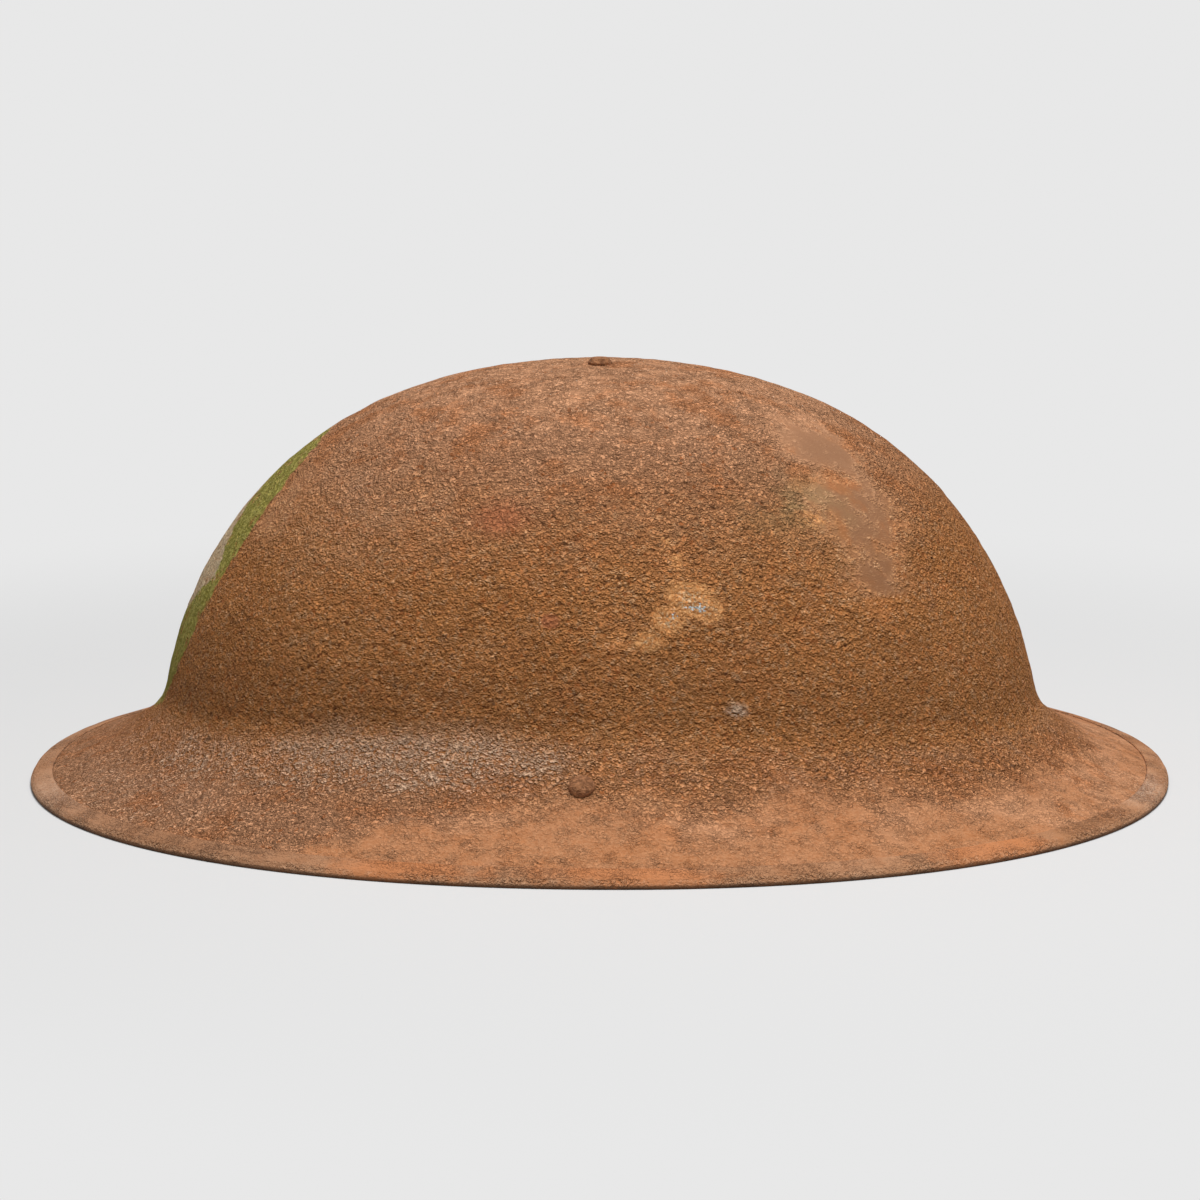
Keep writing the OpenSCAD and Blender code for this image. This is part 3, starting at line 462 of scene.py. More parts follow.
def shell_look():
    look = Look("shell_finish")
    grit = look.mask("grit")
    height, shade, dense = grit_height(look, grit)
    wide = look.noise(38, 4, 0.6)
    mid = look.noise(7, 4, 0.62)
    fine = look.noise(0.8, 3, 0.7)
    base = look.ramp(wide, (0.3, (0.555, 0.202, 0.06)), (0.52, (0.64, 0.238, 0.072)),
                     (0.72, (0.705, 0.28, 0.095)))
    base = base.mix(mid.rise(0.4, 0.68, 0.35), (0.73, 0.305, 0.102))
    base = base.mix(look.mask("fade"), (0.79, 0.41, 0.228))
    base = base.mix(look.mask("bare") * 0.8, (0.44, 0.235, 0.132))
    normal = look.bump(mid * 0.5 + fine * 0.12, 0.22)
    normal = look.bump(height, 1.3, normal)
    tilt = facing_up(look, normal)
    patches = look.noise(13, 4, 0.66).rise(0.48, 0.66, 0.6)
    base = base.mix(patches, (0.68, 0.245, 0.085))
    greyish = look.noise(9, 4, 0.66).rise(0.54, 0.7, 0.45)
    base = base.mix(greyish, (0.56, 0.3, 0.165))
    # Painted shade: the hollows between the grains are darker.
    low = base.mix(0.45, (0.1, 0.034, 0.01))
    colour = look.mix(height.rise(0.02, 0.2), low, base)
    # Painted shadow: the faces of the grains that point down are darker, a little less where the paint is
    # faded.
    under = tilt.fit(-0.45, -0.1, 0.85, 0.0) * look.mask("fade").fit(0.0, 1.0, 1.0, 0.5)
    colour = colour.mix(under, (0.085, 0.028, 0.008))
    # Painted highlight: the faces of the grains that point up are lighter.
    colour = colour.mix(tilt.rise(0.04, 0.34, 0.45), (0.92, 0.46, 0.18))
    tone = look.apart(shade)
    # Painted highlight: some grains are paler on the faces that point up.
    lit = tone[2].rise(0.72, 0.92) * tilt.rise(0.02, 0.25, 0.7)
    colour = colour.mix(lit, (0.98, 0.58, 0.3))
    colour = colour.mix(tone[0].rise(0.965, 0.985) * (dense * 0.75), (0.5, 0.155, 0.045))
    colour = colour.mix(tone[1].rise(0.95, 0.98) * (dense * 0.6), (0.13, 0.048, 0.022))
    rust = (look.mask("rust") + mid * 0.9).rise(0.7, 1.25, 0.72)
    rusty = look.mix(fine.rise(0.35, 0.65), (0.47, 0.18, 0.068), (0.59, 0.275, 0.13))
    colour = colour.mix(rust * dense.fit(0.0, 1.0, 1.0, 0.35), rusty)
    # Pale dust, put only on the grains' tops and upward faces: real dust, and a painted highlight on those
    # tops.
    top = tilt + (height + fine) * 0.5
    dust = look.mask("dust") * top.rise(0.2, 0.8, 0.95)
    colour = colour.mix(dust, (0.86, 0.58, 0.39))
    stain = look.mask("stain") * mid.fit(0.36, 0.62, 0.1, 0.65)
    colour = colour.mix(stain, (0.37, 0.27, 0.125))
    rose = (look.mask("rose") + fine * 0.6).rise(0.45, 1.0, 0.7)
    colour = colour.mix(rose, (0.64, 0.215, 0.095))
    # Rubbed pale patch: real wear, lighter on upward faces and with a paler core, both painted highlight.
    rub = look.mask("rub") + (look.noise(2.6, 3, 0.6) * 0.4 + fine * 0.7)
    pale = look.mix((fine + tilt * 0.4).rise(0.44, 0.6), (1.0, 0.39, 0.125), (1.0, 0.51, 0.205))
    colour = colour.mix(rub.rise(0.76, 1.06) * height.fit(0.0, 0.25, 0.75, 1.0), pale)
    colour = colour.mix(rub.rise(1.1, 1.5) * fine.rise(0.48, 0.56, 0.9), (1.0, 0.66, 0.38))
    specks = look.apart(look.cells(0.6)[1])[0]
    spark = look.mask("spark") + specks * 0.8
    colour = colour.mix(spark.rise(1.14, 1.2, 0.95), (0.97, 0.99, 0.96))
    colour = colour.mix(look.mask("inner") * 0.5, (0.15, 0.07, 0.032))
    colour = sign_paint(look, colour, height, fine)
    rough = dense.fit(0.0, 1.0, 0.7, 0.93)
    return look.done(colour, rough, normal, 0.05)


def sign_paint(look, colour, height, fine):
    ragged = look.noise(3.0, 4, 0.6) * 6.0 - 3.0
    worn = (look.noise(5.0, 4, 0.65) + fine * 0.25).rise(0.44, 0.6)
    disc = (look.mask("disc") + ragged).rise(0.0, 0.6)
    diamond = (look.mask("diamond") + ragged).rise(0.0, 0.6)
    # Painted shade: the paint is darker in the hollows between the grains and lighter on their tops.
    green = look.mix(height.rise(0.2, 0.8), (0.31, 0.29, 0.055), (0.6, 0.54, 0.14))
    cream = look.mix(height.rise(0.2, 0.8), (0.78, 0.54, 0.31), (0.98, 0.78, 0.52))
    paint = look.mix(diamond, green, cream)
    cover = disc * worn.fit(0.0, 1.0, 0.25, 0.92)
    return colour.mix(cover, paint)


SHELL_COLUMNS = 520
DOME_ROWS, FILLET_ROWS, BRIM_ROWS = ((100, 6, 33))


def make_shell():
    t = around(SHELL_COLUMNS)
    first = float(np.arcsin((CROWN_HOLE_R / waist_r(0.0)) ** (FULLNESS / 2)) / dome_end(0.0))
    edge = 3 - 0.02
    rows = np.concatenate([
        first + (1 - first) * np.arange(DOME_ROWS) / DOME_ROWS,
        1 + np.arange(FILLET_ROWS) / FILLET_ROWS,
        np.linspace(2, edge, BRIM_ROWS)])
    v, tt = np.meshgrid(rows, t, indexing="ij")
    points = shell_point(v, tt).reshape(-1, 3)
    normals = shell_normal(v, tt).reshape(-1, 3)
    masks = shell_masks(points, v.reshape(-1))
    away = np.hypot(points[:, 0], points[:, 1])
    inset = rim_r(tt).reshape(-1) - away
    fade = smooth_step(inset, BIND_W + 0.5, BIND_W + 4) * smooth_step(away, 2, 6)
    dents = 0.28 * lumps(points, 42, 2)
    bumps = 0.2 * lumps(points + 200, 7.5, 2) + 0.13 * lumps(points + 90, 3.2, 2)
    rough = 0.25 + 0.75 * np.maximum(masks["grit"], 0)
    push = np.clip(dents, -0.25, 0.3) + np.clip(bumps, -0.2, 0.35) * rough
    outer = points + normals * (push * fade)[:, None]
    inner_rows = np.concatenate([first + (1 - first) * np.arange(14) / 14, [1, 1.35, 1.7],
                                 np.linspace(2, edge, 9)])
    iv, it = np.meshgrid(inner_rows[::-1], t, indexing="ij")
    inner = (shell_point(iv, it) - WALL * shell_normal(iv, it)).reshape(-1, 3)
    masks["inner"] = np.zeros(len(outer))
    masks = {key: np.concatenate([value, np.full(len(inner), INSIDE.get(key, 0))])
             for key, value in masks.items()}
    faces = grid_faces(len(rows) + len(inner_rows), SHELL_COLUMNS, closed_rows=True)
    piece("shell", np.concatenate([outer, inner]), faces, "shell_paint", replaces=("steel_shell",),
          masks=masks)


# Folded strip along the rim
STRIP_COLUMNS = 480


def brim_off(inset, t, off):
    width = rim_r(t) - foot_r(t)
    r, z = brim_rz(1 - inset / width, t)
    r2, z2 = brim_rz(1 - (inset + 0.01) / width, t)
    length = np.hypot(r - r2, z - z2)
    return np.array([r - (z - z2) / length * off, z + (r - r2) / length * off])


def make_strip():
    t = around(STRIP_COLUMNS)
    r = rim_r(t)
    top = SEAT + BIND_T
    low = -WALL - SEAT
    outline = [brim_off(BIND_W, t, 0.02), brim_off(BIND_W - 0.25, t, top - 0.2),
               brim_off(BIND_W - 0.7, t, top)]
    outline += [brim_off(inset, t, top) for inset in (5, 4, 3, 2.1, 1.4, 0.9)]
    outline += [np.array([r + out, z + 0 * r]) for out, z in (
        (-0.32, 1.47), (-0.1, 1.3), (0.0, 1.02), (0.0, 0.72), (-0.06, 0.4), (-0.18, 0.14), (-0.36, 0.0),
        (-0.85, 0.0), (-1.3, 0.0))]
    outline += [brim_off(inset, t, low - BIND_T) for inset in (2.4, 3.4, 4.6, 5.65)]
    outline += [brim_off(BIND_W, t, low - BIND_T + 0.15), brim_off(BIND_W, t, low),
                brim_off(BIND_T, t, low), brim_off(BIND_T, t, SEAT)]
    rz = np.array(outline)
    points = turned(rz[:, 0], rz[:, 1], t)
    rows = len(outline)
    flat = points.reshape(-1, 3)
    lift = np.zeros((rows, STRIP_COLUMNS))
    lift[1:11] = 0.1 * np.clip(lumps(points, 9, 2)[1:11], -0.8, 1)
    lift[:3] *= 0.5
    points[:, :, 2] += lift
    # Lower edge and underside of the strip, which the material darkens as painted shade.
    under = rz[:, 1] < 0.5
    low_edge = np.clip(1.2 - rz[:, 1] * 0.9, 0, 1)
    edge = low_edge * (np.arange(rows)[:, None] > 8)
    at = partial(near, flat)
    dust = at((142, -22, 4), (14, 26, 8)) + 0.4 * at((-140, -50, 3), (24, 30, 8))
    rust = at((-40, -136, 3), (34, 12, 8)) + at((20, -140, 3), (42, 12, 8))
    rust += at((112, -102, 3), (42, 28, 8)) + at((-110, 95, 3), (50, 36, 8))
    masks = {"edge": np.clip(edge + under * 0.3, 0, 1), "dust": np.clip(dust, 0, 1),
             "rust": np.clip(rust, 0, 1), "brown": smooth_step(-flat[:, 0], 10, 100)}
    faces = grid_faces(rows, STRIP_COLUMNS, closed_rows=True)
    piece("rim_strip", flat, faces, "rim_steel", replaces=("rim_binding",), masks=masks)


def strip_look():
    look = Look("rim_finish")
    mid = look.noise(6, 4, 0.62)
    fine = look.noise(0.8, 3, 0.7)
    wide = look.noise(30, 3, 0.5)
    worn = look.noise(11, 3, 0.6).fit(0.38, 0.62, 0.75, 0.1)
    height = grit_height(look, worn)[0]
    normal = look.bump(mid + fine * 0.5, 0.25)
    normal = look.bump(height, 0.7, normal)
    tilt = facing_up(look, normal)
    colour = look.ramp(wide, (0.32, (0.45, 0.205, 0.092)), (0.66, (0.56, 0.285, 0.15)))
    colour = colour.mix(mid.rise(0.44, 0.7, 0.5), (0.4, 0.16, 0.066))
    colour = colour.mix(look.mask("brown") * 0.55, (0.36, 0.18, 0.092))
    rust = (look.mask("rust") + mid * 0.8).rise(0.62, 1.1, 0.75)
    colour = colour.mix(rust, (0.64, 0.235, 0.085))
    colour = colour.mix(look.mask("dust") * fine.rise(0.3, 0.7), (0.78, 0.58, 0.44))
    # Painted shadow: the faces of the bumps that point down are darker.
    colour = colour.mix(tilt.fit(-0.42, -0.06, 0.55, 0.0), (0.085, 0.028, 0.008))
    # Painted highlight: the faces that point up are lighter.
    colour = colour.mix((tilt + fine).rise(0.58, 0.8, 0.4), (0.8, 0.5, 0.31))
    # Painted shade: darker along the strip's lower edge and underside.
    colour = colour.mix(look.mask("edge") * mid.fit(0.2, 0.6, 0.9, 0.6), (0.07, 0.032, 0.018))
    return look.done(colour, mid.fit(0.3, 0.7, 0.75, 0.92), normal, 0.2)


def shade(colour, share):
    return tuple(min(1, c * share) for c in colour)


# Metal of the small fittings
def metal_look(name, dark, light, rust_amount, metallic, rough):
    look = Look(name)
    spots = look.noise(2.2, 3, 0.55)
    broad = look.noise(6, 3, 0.6)
    colour = look.mix(broad.rise(0.25, 0.75), dark, light)
    rust = (spots + broad * 0.6).rise(0.98 - rust_amount, 1.16 - rust_amount)
    rusty = look.mix(look.noise(0.6, 2, 0.6).rise(0.4, 0.62), (0.11, 0.04, 0.016), (0.3, 0.115, 0.042))
    colour = colour.mix(rust, rusty)
    metal = rust.fit(0.0, 1.0, metallic, 0.0)
    normal = look.bump(spots + rust * 0.4, 0.05)
    return look.done(colour, rust.fit(0.0, 1.0, rough, 0.85), normal, Metallic=metal)


def rivet_look():
    look = Look("rusted_rivet")
    height = grit_height(look, look.noise(20, 1, 0.5).fit(0, 1, 0.6, 0.9))[0]
    mid = look.noise(2.2, 3, 0.6)
    colour = look.mix(mid.rise(0.35, 0.65), (0.33, 0.14, 0.058), (0.5, 0.225, 0.1))
    # Painted shade: darker in the hollows between the grains.
    colour = colour.mix(height.fit(0.1, 0.5, 0.6, 0.0), (0.11, 0.04, 0.015))
    normal = look.bump(height, 0.35)
    return look.done(colour, 0.88, normal, 0.3)


def leather_look(name, dark, light, edged=False):
    look = Look(name)
    pores = look.cells(0.55)[0]
    broad = look.noise(9, 4, 0.6)
    crack = look.noise(1.8, 4, 0.7)
    colour = look.mix(broad.rise(0.32, 0.66), dark, light)
    colour = colour.mix(crack.rise(0.58, 0.7, 0.6), shade(dark, 0.35))
    colour = colour.mix(look.noise(0.5, 2, 0.6).rise(0.6, 0.72, 0.35), shade(light, 1.7))
    height = pores.rise(0.0, 0.5, 0.5) + crack.fit(0.45, 0.7, 0.6, 0.0)
    rough = broad.fit(0.3, 0.7, 0.48, 0.68)
    normal = look.bump(height, 0.1)
    if edged:
        edge = look.mask("edge")
        groove = look.math("ABSOLUTE", edge - 1.5)
        crease = groove.rise(0.08, 0.34)
        colour = colour.mix(crease.fit(0.0, 1.0, 0.55, 0.0), shade(dark, 0.3))
        colour = colour.mix(edge.fit(0.05, 0.7, 0.65, 0.0), shade(dark, 0.45))
        normal = look.bump(crease, 0.25, normal)
    return look.done(colour, rough, normal, 0.4)


def felt_look():
    look = Look("pressed_felt")
    fibre = look.noise(0.45, 4, 0.75, stretch=(1, 1, 0.35))
    cross = look.noise(0.6, 4, 0.7, stretch=(0.4, 0.4, 1))
    broad = look.noise(8, 3, 0.6)
    colour = look.mix(broad.rise(0.35, 0.65), (0.165, 0.135, 0.095), (0.29, 0.245, 0.18))
    colour = colour.mix(fibre.rise(0.4, 0.66, 0.6), (0.42, 0.36, 0.27))
    colour = colour.mix(cross.rise(0.52, 0.7, 0.6), (0.085, 0.062, 0.04))
    normal = look.bump(fibre + cross, 0.35)
    return look.done(colour, 0.95, normal, 0.15, Sheen_Weight=0.25)


def oilcloth_look():
    look = Look("black_oilcloth")
    lines = look.cracks(4.5, look.warped(5, 2.0)).rise(0.0, 0.05)
    wide = look.noise(14, 3, 0.6)
    fine = look.noise(0.6, 3, 0.6)
    colour = look.mix(wide.rise(0.3, 0.7), (0.018, 0.017, 0.016), (0.045, 0.04, 0.034))
    worn = lines.fit(0.0, 1.0, 1.0, 0.0) * wide.rise(0.4, 0.6)
    colour = colour.mix(worn * 0.7, (0.17, 0.125, 0.08))
    colour = colour.mix(fine.rise(0.6, 0.75, 0.3), (0.13, 0.11, 0.085))
    seam = look.mask("seam").rise(0.15, 0.6)
    colour = colour.mix(seam.fit(0.0, 1.0, 0.7, 0.0), (0.006, 0.006, 0.005))
    weave = look.add("ShaderNodeTexWave", {"Vector": look.place, "Scale": 900.0, "Distortion": 1.5},
                     out="Fac")
    normal = look.bump(lines + seam + weave * 0.12, 0.16)
    return look.done(colour, wide.fit(0.3, 0.7, 0.28, 0.5), normal, Coat_Weight=0.15)


def rubber_look():
    look = Look("aged_rubber")
    lines = look.cracks(2.2, look.warped(2, 1.2)).rise(0.0, 0.06)
    broad = look.noise(7, 3, 0.6)
    bloom = look.noise(1.2, 3, 0.65)
    colour = look.mix(broad.rise(0.35, 0.65), (0.07, 0.032, 0.022), (0.135, 0.062, 0.042))
    colour = colour.mix(lines.fit(0.0, 1.0, 0.75, 0.0), (0.02, 0.011, 0.008))
    colour = colour.mix(bloom.rise(0.52, 0.72, 0.45), (0.27, 0.19, 0.145))
    normal = look.bump(lines + bloom * 0.3, 0.18)
    return look.done(colour, 0.78, normal, 0.35)


def twine_look(name, dark, light):
    look = Look(name)
    fibre = look.noise(0.35, 4, 0.75, stretch=(1, 1, 0.5))
    broad = look.noise(5, 3, 0.6)
    grime = look.noise(17, 3, 0.6)
    colour = look.mix(broad.rise(0.35, 0.65), dark, light)
    colour = colour.mix(fibre.fit(0.35, 0.7, 0.55, 0.0), shade(dark, 0.4))
    colour = colour.mix(grime.rise(0.5, 0.7, 0.55), (0.135, 0.088, 0.048))
    normal = look.bump(fibre, 0.22)
    return look.done(colour, 0.92, normal, 0.15, Sheen_Weight=0.3)


LOOKS = {
    "shell_paint": shell_look(),
    "rim_steel": strip_look(),
    "rivet_steel": rivet_look(),
    "plain_steel": metal_look("dull_steel", (0.17, 0.14, 0.115), (0.29, 0.25, 0.21), 0.16, 0.65, 0.5),
    "brass": metal_look("dull_brass", (0.33, 0.21, 0.08), (0.56, 0.4, 0.18), 0.02, 1.0, 0.35),
    "felt": felt_look(),
    "oilcloth": oilcloth_look(),
    "liner_leather": leather_look("liner_hide", (0.125, 0.055, 0.024), (0.26, 0.13, 0.06)),
    "tab_leather": leather_look("tab_hide", (0.075, 0.038, 0.02), (0.165, 0.09, 0.048)),
    "strap_leather": leather_look("strap_hide", (0.115, 0.048, 0.02), (0.235, 0.11, 0.05), True),
    "rubber": rubber_look(),
    "twine": twine_look("cotton_cord", (0.33, 0.25, 0.15), (0.5, 0.4, 0.26)),
    "net_twine": twine_look("net_cord", (0.36, 0.27, 0.16), (0.54, 0.43, 0.28)),
}

# Liner, as in the part's source
LINER_GAP = 11.3
BAND_Z, BAND_TOP, BAND_T, BAND_OUT = 29, 59, 1.5, 2.3
FELT_Z, FELT_H, FELT_T = 30, 23, 2
CAP_Z0, CAP_TOP, CAP_T, CAP_OUT = 53.3, 99.1, 1, 1.2
SOFT_GAP = 0.3
TUBE_D, TUBE_LEN, TUBE_COUNT, TUBE_Z = 9.5, 36, 12, 38
CORD_D, HEM_D, DRAW_D, TWINE_D = 3.4, 2.6, 2.4, 1.5
STITCH_D = 0.7
NET_STRANDS, NET_EYE_R, NET_RISE = 24, 19, 26
LINER_HOLE_R = 1.9
CAP_COLUMNS, CAP_ROWS = 192, 34
PAD_COLUMNS, BAND_COLUMNS, CORD_COLUMNS = 96, 180, 420
FELT_ROWS, TUBE_COLUMNS, DRAW_COLUMNS = 7, 22, 150
PATCH_T, PATCH_STITCHES, PATCH_STITCH_R = 1.6, 26, 12.4
BAND_STITCHES, BAND_STITCH_Z = 132, (31.2, 56.9)
HEM_LOOPS, HEM_LOOP_R = 72, 1.5
NET_TWIST = radians(55)
HEM_Z = BAND_TOP - HEM_D
SIDE = pi / 2


def liner_r(z, t):
    return dome_r(z, t) - LINER_GAP


def cap_h(t):
    return CAP_TOP - waist_z(t)


def cap_waist(t):
    return (liner_r(CAP_Z0, t) - CAP_OUT) / bulge((CAP_Z0 - waist_z(t)) / cap_h(t))


def cap_r(z, t, d):
    return (cap_waist(t) - d) * bulge((z - waist_z(t)) / (cap_h(t) - d))


def cap_z(r, t):
    return waist_z(t) + cap_h(t) * bulge(r / cap_waist(t))


def band_face(z, t):
    if z >= CAP_Z0:
        return cap_r(z, t, CAP_T) - SOFT_GAP
    return liner_r(z, t) - BAND_OUT


def ring_piece(name, rows, slot, replaced, masks=None):
    """A closed ring: each row of the closed outline is an array of points round the helmet."""
    faces = grid_faces(*rows.shape[:2], closed_rows=True)
    return piece(name, rows, faces, slot, replaces=(replaced,), masks=masks)


def join(parts):
    """Points and faces of several bodies as one mesh."""
    points, faces, start = [], [], 0
    for part_points, part_faces in parts:
        part_points = np.asarray(part_points).reshape(-1, 3)
        points.append(part_points)
        faces.extend(tuple(index + start for index in face) for face in part_faces)
        start += len(part_points)
    return np.concatenate(points), faces


def joined_piece(name, parts, slot, *replaced):
    points, faces = join(parts)
    return piece(name, points, faces, slot, replaces=replaced)


def frames(path, closed):
    """Directions beside and above a path, the last near the Z axis."""
    path = np.asarray(path, dtype=float)
    if closed:
        along = np.roll(path, -1, 0) - np.roll(path, 1, 0)
    else:
        along = np.gradient(path, axis=0)
    along = unit(along)
    side = unit(np.cross(along, (0.05, 0.03, 1.0)))
    return side, np.cross(side, along)


def twisted(path, diameter, closed=False, sides=9, strands=3, pitch=6.0, lobe=0.13):
    """A tube of twisted yarn along a path."""
    path = np.asarray(path, dtype=float)
    side, up = frames(path, closed)
    run = distances(path)
    if closed:
        total = run[-1] + np.linalg.norm(path[0] - path[-1])
        pitch = total / max(round(total / pitch), 1)
    angle = around(sides)
    turn = run[:, None] / pitch * 2 * pi
    radius = diameter / 2 * (1 - lobe + lobe * np.cos(strands * (angle[None] - turn / strands)))
    points = (path[:, None] + side[:, None] * (np.cos(angle)[None] * radius)[..., None]
              + up[:, None] * (np.sin(angle)[None] * radius)[..., None])
    rows = len(path)
    faces = grid_faces(rows, sides, True) if closed else capped_faces(rows, sides)
    return points.reshape(-1, 3), flipped(faces)


def ball(centre, size, seed, steps=8, rows=6):
    """A lumpy knot: size is its half width along X, Y and Z."""
    points = [(0, 0, -1)]
    for i in range(1, rows):
        tilt = -pi / 2 + pi * i / rows
        for j in range(steps):
            a = 2 * pi * j / steps
            swell = 1 + 0.12 * cos(3 * a + 2.5 * tilt + seed)
            points.append((cos(tilt) * cos(a) * swell, cos(tilt) * sin(a) * swell, sin(tilt)))
    points.append((0, 0, 1))
    faces = [(0, 1 + (j + 1) % steps, 1 + j) for j in range(steps)]
    for i in range(rows - 2):
        a = 1 + i * steps
        faces += [(a + j, a + (j + 1) % steps, a + steps + (j + 1) % steps, a + steps + j)
                  for j in range(steps)]
    last = len(points) - 1
    a = last - steps
    faces += [(a + j, a + (j + 1) % steps, last) for j in range(steps)]
    return np.array(points) * size + centre, faces


def stitch(a, b, out):
    """A short bulging stitch from a to b, standing off along out."""
    a, b, out = (np.asarray(value, dtype=float) for value in (a, b, out))
    spots = np.linspace(0, 1, 5)
    path = [a + (b - a) * u + out * (0.35 * sin(pi * u) - 0.15) for u in spots]
    return twisted(path, STITCH_D, sides=6, lobe=0.0)


def skin_area(rows):
    """Area of a skin given as rows of points round the helmet."""
    down = np.diff(rows, axis=0)
    across = np.roll(rows, -1, axis=1)[:-1] - rows[:-1]
    return float(np.linalg.norm(np.cross(down, across), axis=-1).sum())


def make_liner():
    t = around(CAP_COLUMNS)
    q0 = np.arcsin((LINER_HOLE_R / cap_waist(t)) ** (FULLNESS / 2))
    rows, free = [], []
    span = np.linspace(0, 1, CAP_ROWS)
    for d, shares in ((0, span), (CAP_T, span[::-1])):
        q1 = np.arccos(((CAP_Z0 - waist_z(t)) / (cap_h(t) - d)) ** (FULLNESS / 2))
        for u in shares:
            q = q0 + (q1 - q0) * u
            r = (cap_waist(t) - d) * np.sin(q) ** (2 / FULLNESS)
            z = waist_z(t) + (cap_h(t) - d) * np.cos(q) ** (2 / FULLNESS)
            rows.append(turned(r, z, t))
            free.append(smooth_step(r, 33, 48) * smooth_step(z, 59.5, 66))
    rows = np.array(rows)
    crease = lumps(rows * (1, 1, 0.5), 16, 3)
    gore = np.abs(np.sin(4 * t))[None] ** 0.6
    rows += unit(rows) * ((0.75 * crease + 0.8 * (gore - 0.6)) * np.array(free))[..., None]
    seam = np.tile(np.minimum(1, np.abs(np.sin(4 * t)) * 12), (len(rows), 1))
    cap = ring_piece("oilcloth_cap", rows, "oilcloth", "liner_cap", {"seam": seam})
    outer = rows[:CAP_ROWS] * MM
    steps = np.linalg.norm(np.diff(outer, axis=0), axis=-1).sum(axis=0)
    round(skin_area(outer), 4)
    pad_r = np.array([LINER_HOLE_R, 4, 10, 17, 24, 28.5, 30.4])
    ring = around(PAD_COLUMNS)
    outline = [(r, float(dome_z(r, SIDE)) - WALL - SOFT_GAP - drop) for r, drop in
               zip(pad_r, (0, 0, 0, 0, 0.05, 0.4, 1.3))]
    low = [(r, float(cap_z(r, 0.0)) + SOFT_GAP + rise) for r, rise in
           zip(pad_r, (0, 0, 0, 0, 0.05, 0.5, 1.4))]
    outline += [(31.2, (outline[-1][1] + low[-1][1]) / 2 + 0.4)] + low[::-1]
    pad_rows = np.array([turned(np.full(PAD_COLUMNS, r), z, ring) for r, z in outline])
    pad_rows[..., 2] += 0.08 * lumps(pad_rows, 5, 2)
    pad = ring_piece("crown_pad_felt", pad_rows, "felt", "crown_pad")
    patch_top = float(cap_z(15.0, SIDE)) - CAP_T - SOFT_GAP
    disc = [(LINER_HOLE_R, 0), (14.2, 0), (14.75, -0.2), (15, -0.6), (15, -1.1), (14.7, -1.5),
            (14.1, -PATCH_T), (LINER_HOLE_R, -PATCH_T)]
    patch_rows = np.array([turned(np.full(PAD_COLUMNS, float(r)), patch_top + z, ring) for r, z in disc])
    ring_piece("leather_patch", patch_rows, "liner_leather", "crown_patch")
    threads = []
    for k in range(PATCH_STITCHES):
        ends = [turned(PATCH_STITCH_R, patch_top - PATCH_T, (k + share) * tau / PATCH_STITCHES)
                for share in (0.1, 0.75)]
        threads.append(stitch(*ends, (0, 0, -1)))
    t = around(BAND_COLUMNS)
    levels = np.linspace(FELT_Z, FELT_Z + FELT_H, FELT_ROWS)
    ends = levels[[0, -1]]
    felt_rows = [turned(liner_r(z, t) - (0.5 if z in ends else 0), z, t) for z in levels[::-1]]
    felt_rows += [turned(liner_r(z, t) - FELT_T + (0.4 if z in ends else 0), z, t) for z in levels]
    felt_rows = np.array(felt_rows)
    outer = felt_rows[:FELT_ROWS]
    outer += 0.1 * lumps(outer, 4, 2)[..., None] * unit(outer * (1, 1, 0))
    felt = ring_piece("felt_strip", felt_rows, "felt", "felt_band")
    levels = np.array([BAND_Z + 0.6, BAND_Z + 1.0, 33, 37, 41, 45, 49, 53.2, 53.4, 56, BAND_TOP - 0.4,
                       BAND_TOP])
    edge = np.array([0.55, 0.1] + [0] * (len(levels) - 4) + [0.1, 0.55])
    outer = [turned(band_face(z, t) - e, z, t) for z, e in zip(levels[::-1], edge[::-1])]
    inner = [turned(band_face(z, t) - BAND_T + e, z, t) for z, e in zip(levels, edge)]
    band_rows = np.array(outer + inner)
    wave = 0.12 * lumps(band_rows, 13, 2)
    wave[:len(outer)] = 0
    band_rows -= wave[..., None] * unit(band_rows * (1, 1, 0))
    ring_piece("sweatband", band_rows, "liner_leather", "liner_band")
    for z in BAND_STITCH_Z:
        for k in range(BAND_STITCHES):
            a, b = ((k + share) * tau / BAND_STITCHES for share in (0.12, 0.72))
            ends = [turned(np.array(band_face(z, np.array(x)) - BAND_T), z, x) for x in (a, b)]
            mid_turn = (a + b) / 2
            threads.append(stitch(ends[0], ends[1], (-cos(mid_turn), -sin(mid_turn), 0)))
    joined_piece("liner_stitches", threads, "net_twine")


RUN_A = float(dome_r(38.0, 0.0)) - WALL - SOFT_GAP * 2 - TUBE_D / 2
RUN_B = float(dome_r(38.0, SIDE)) - WALL - SOFT_GAP * 2 - TUBE_D / 2


def run_point(e):
    return np.array([RUN_A * cos(e), RUN_B * sin(e), TUBE_Z])


def run_facing(e):
    return atan2(RUN_A * sin(e), RUN_B * cos(e))


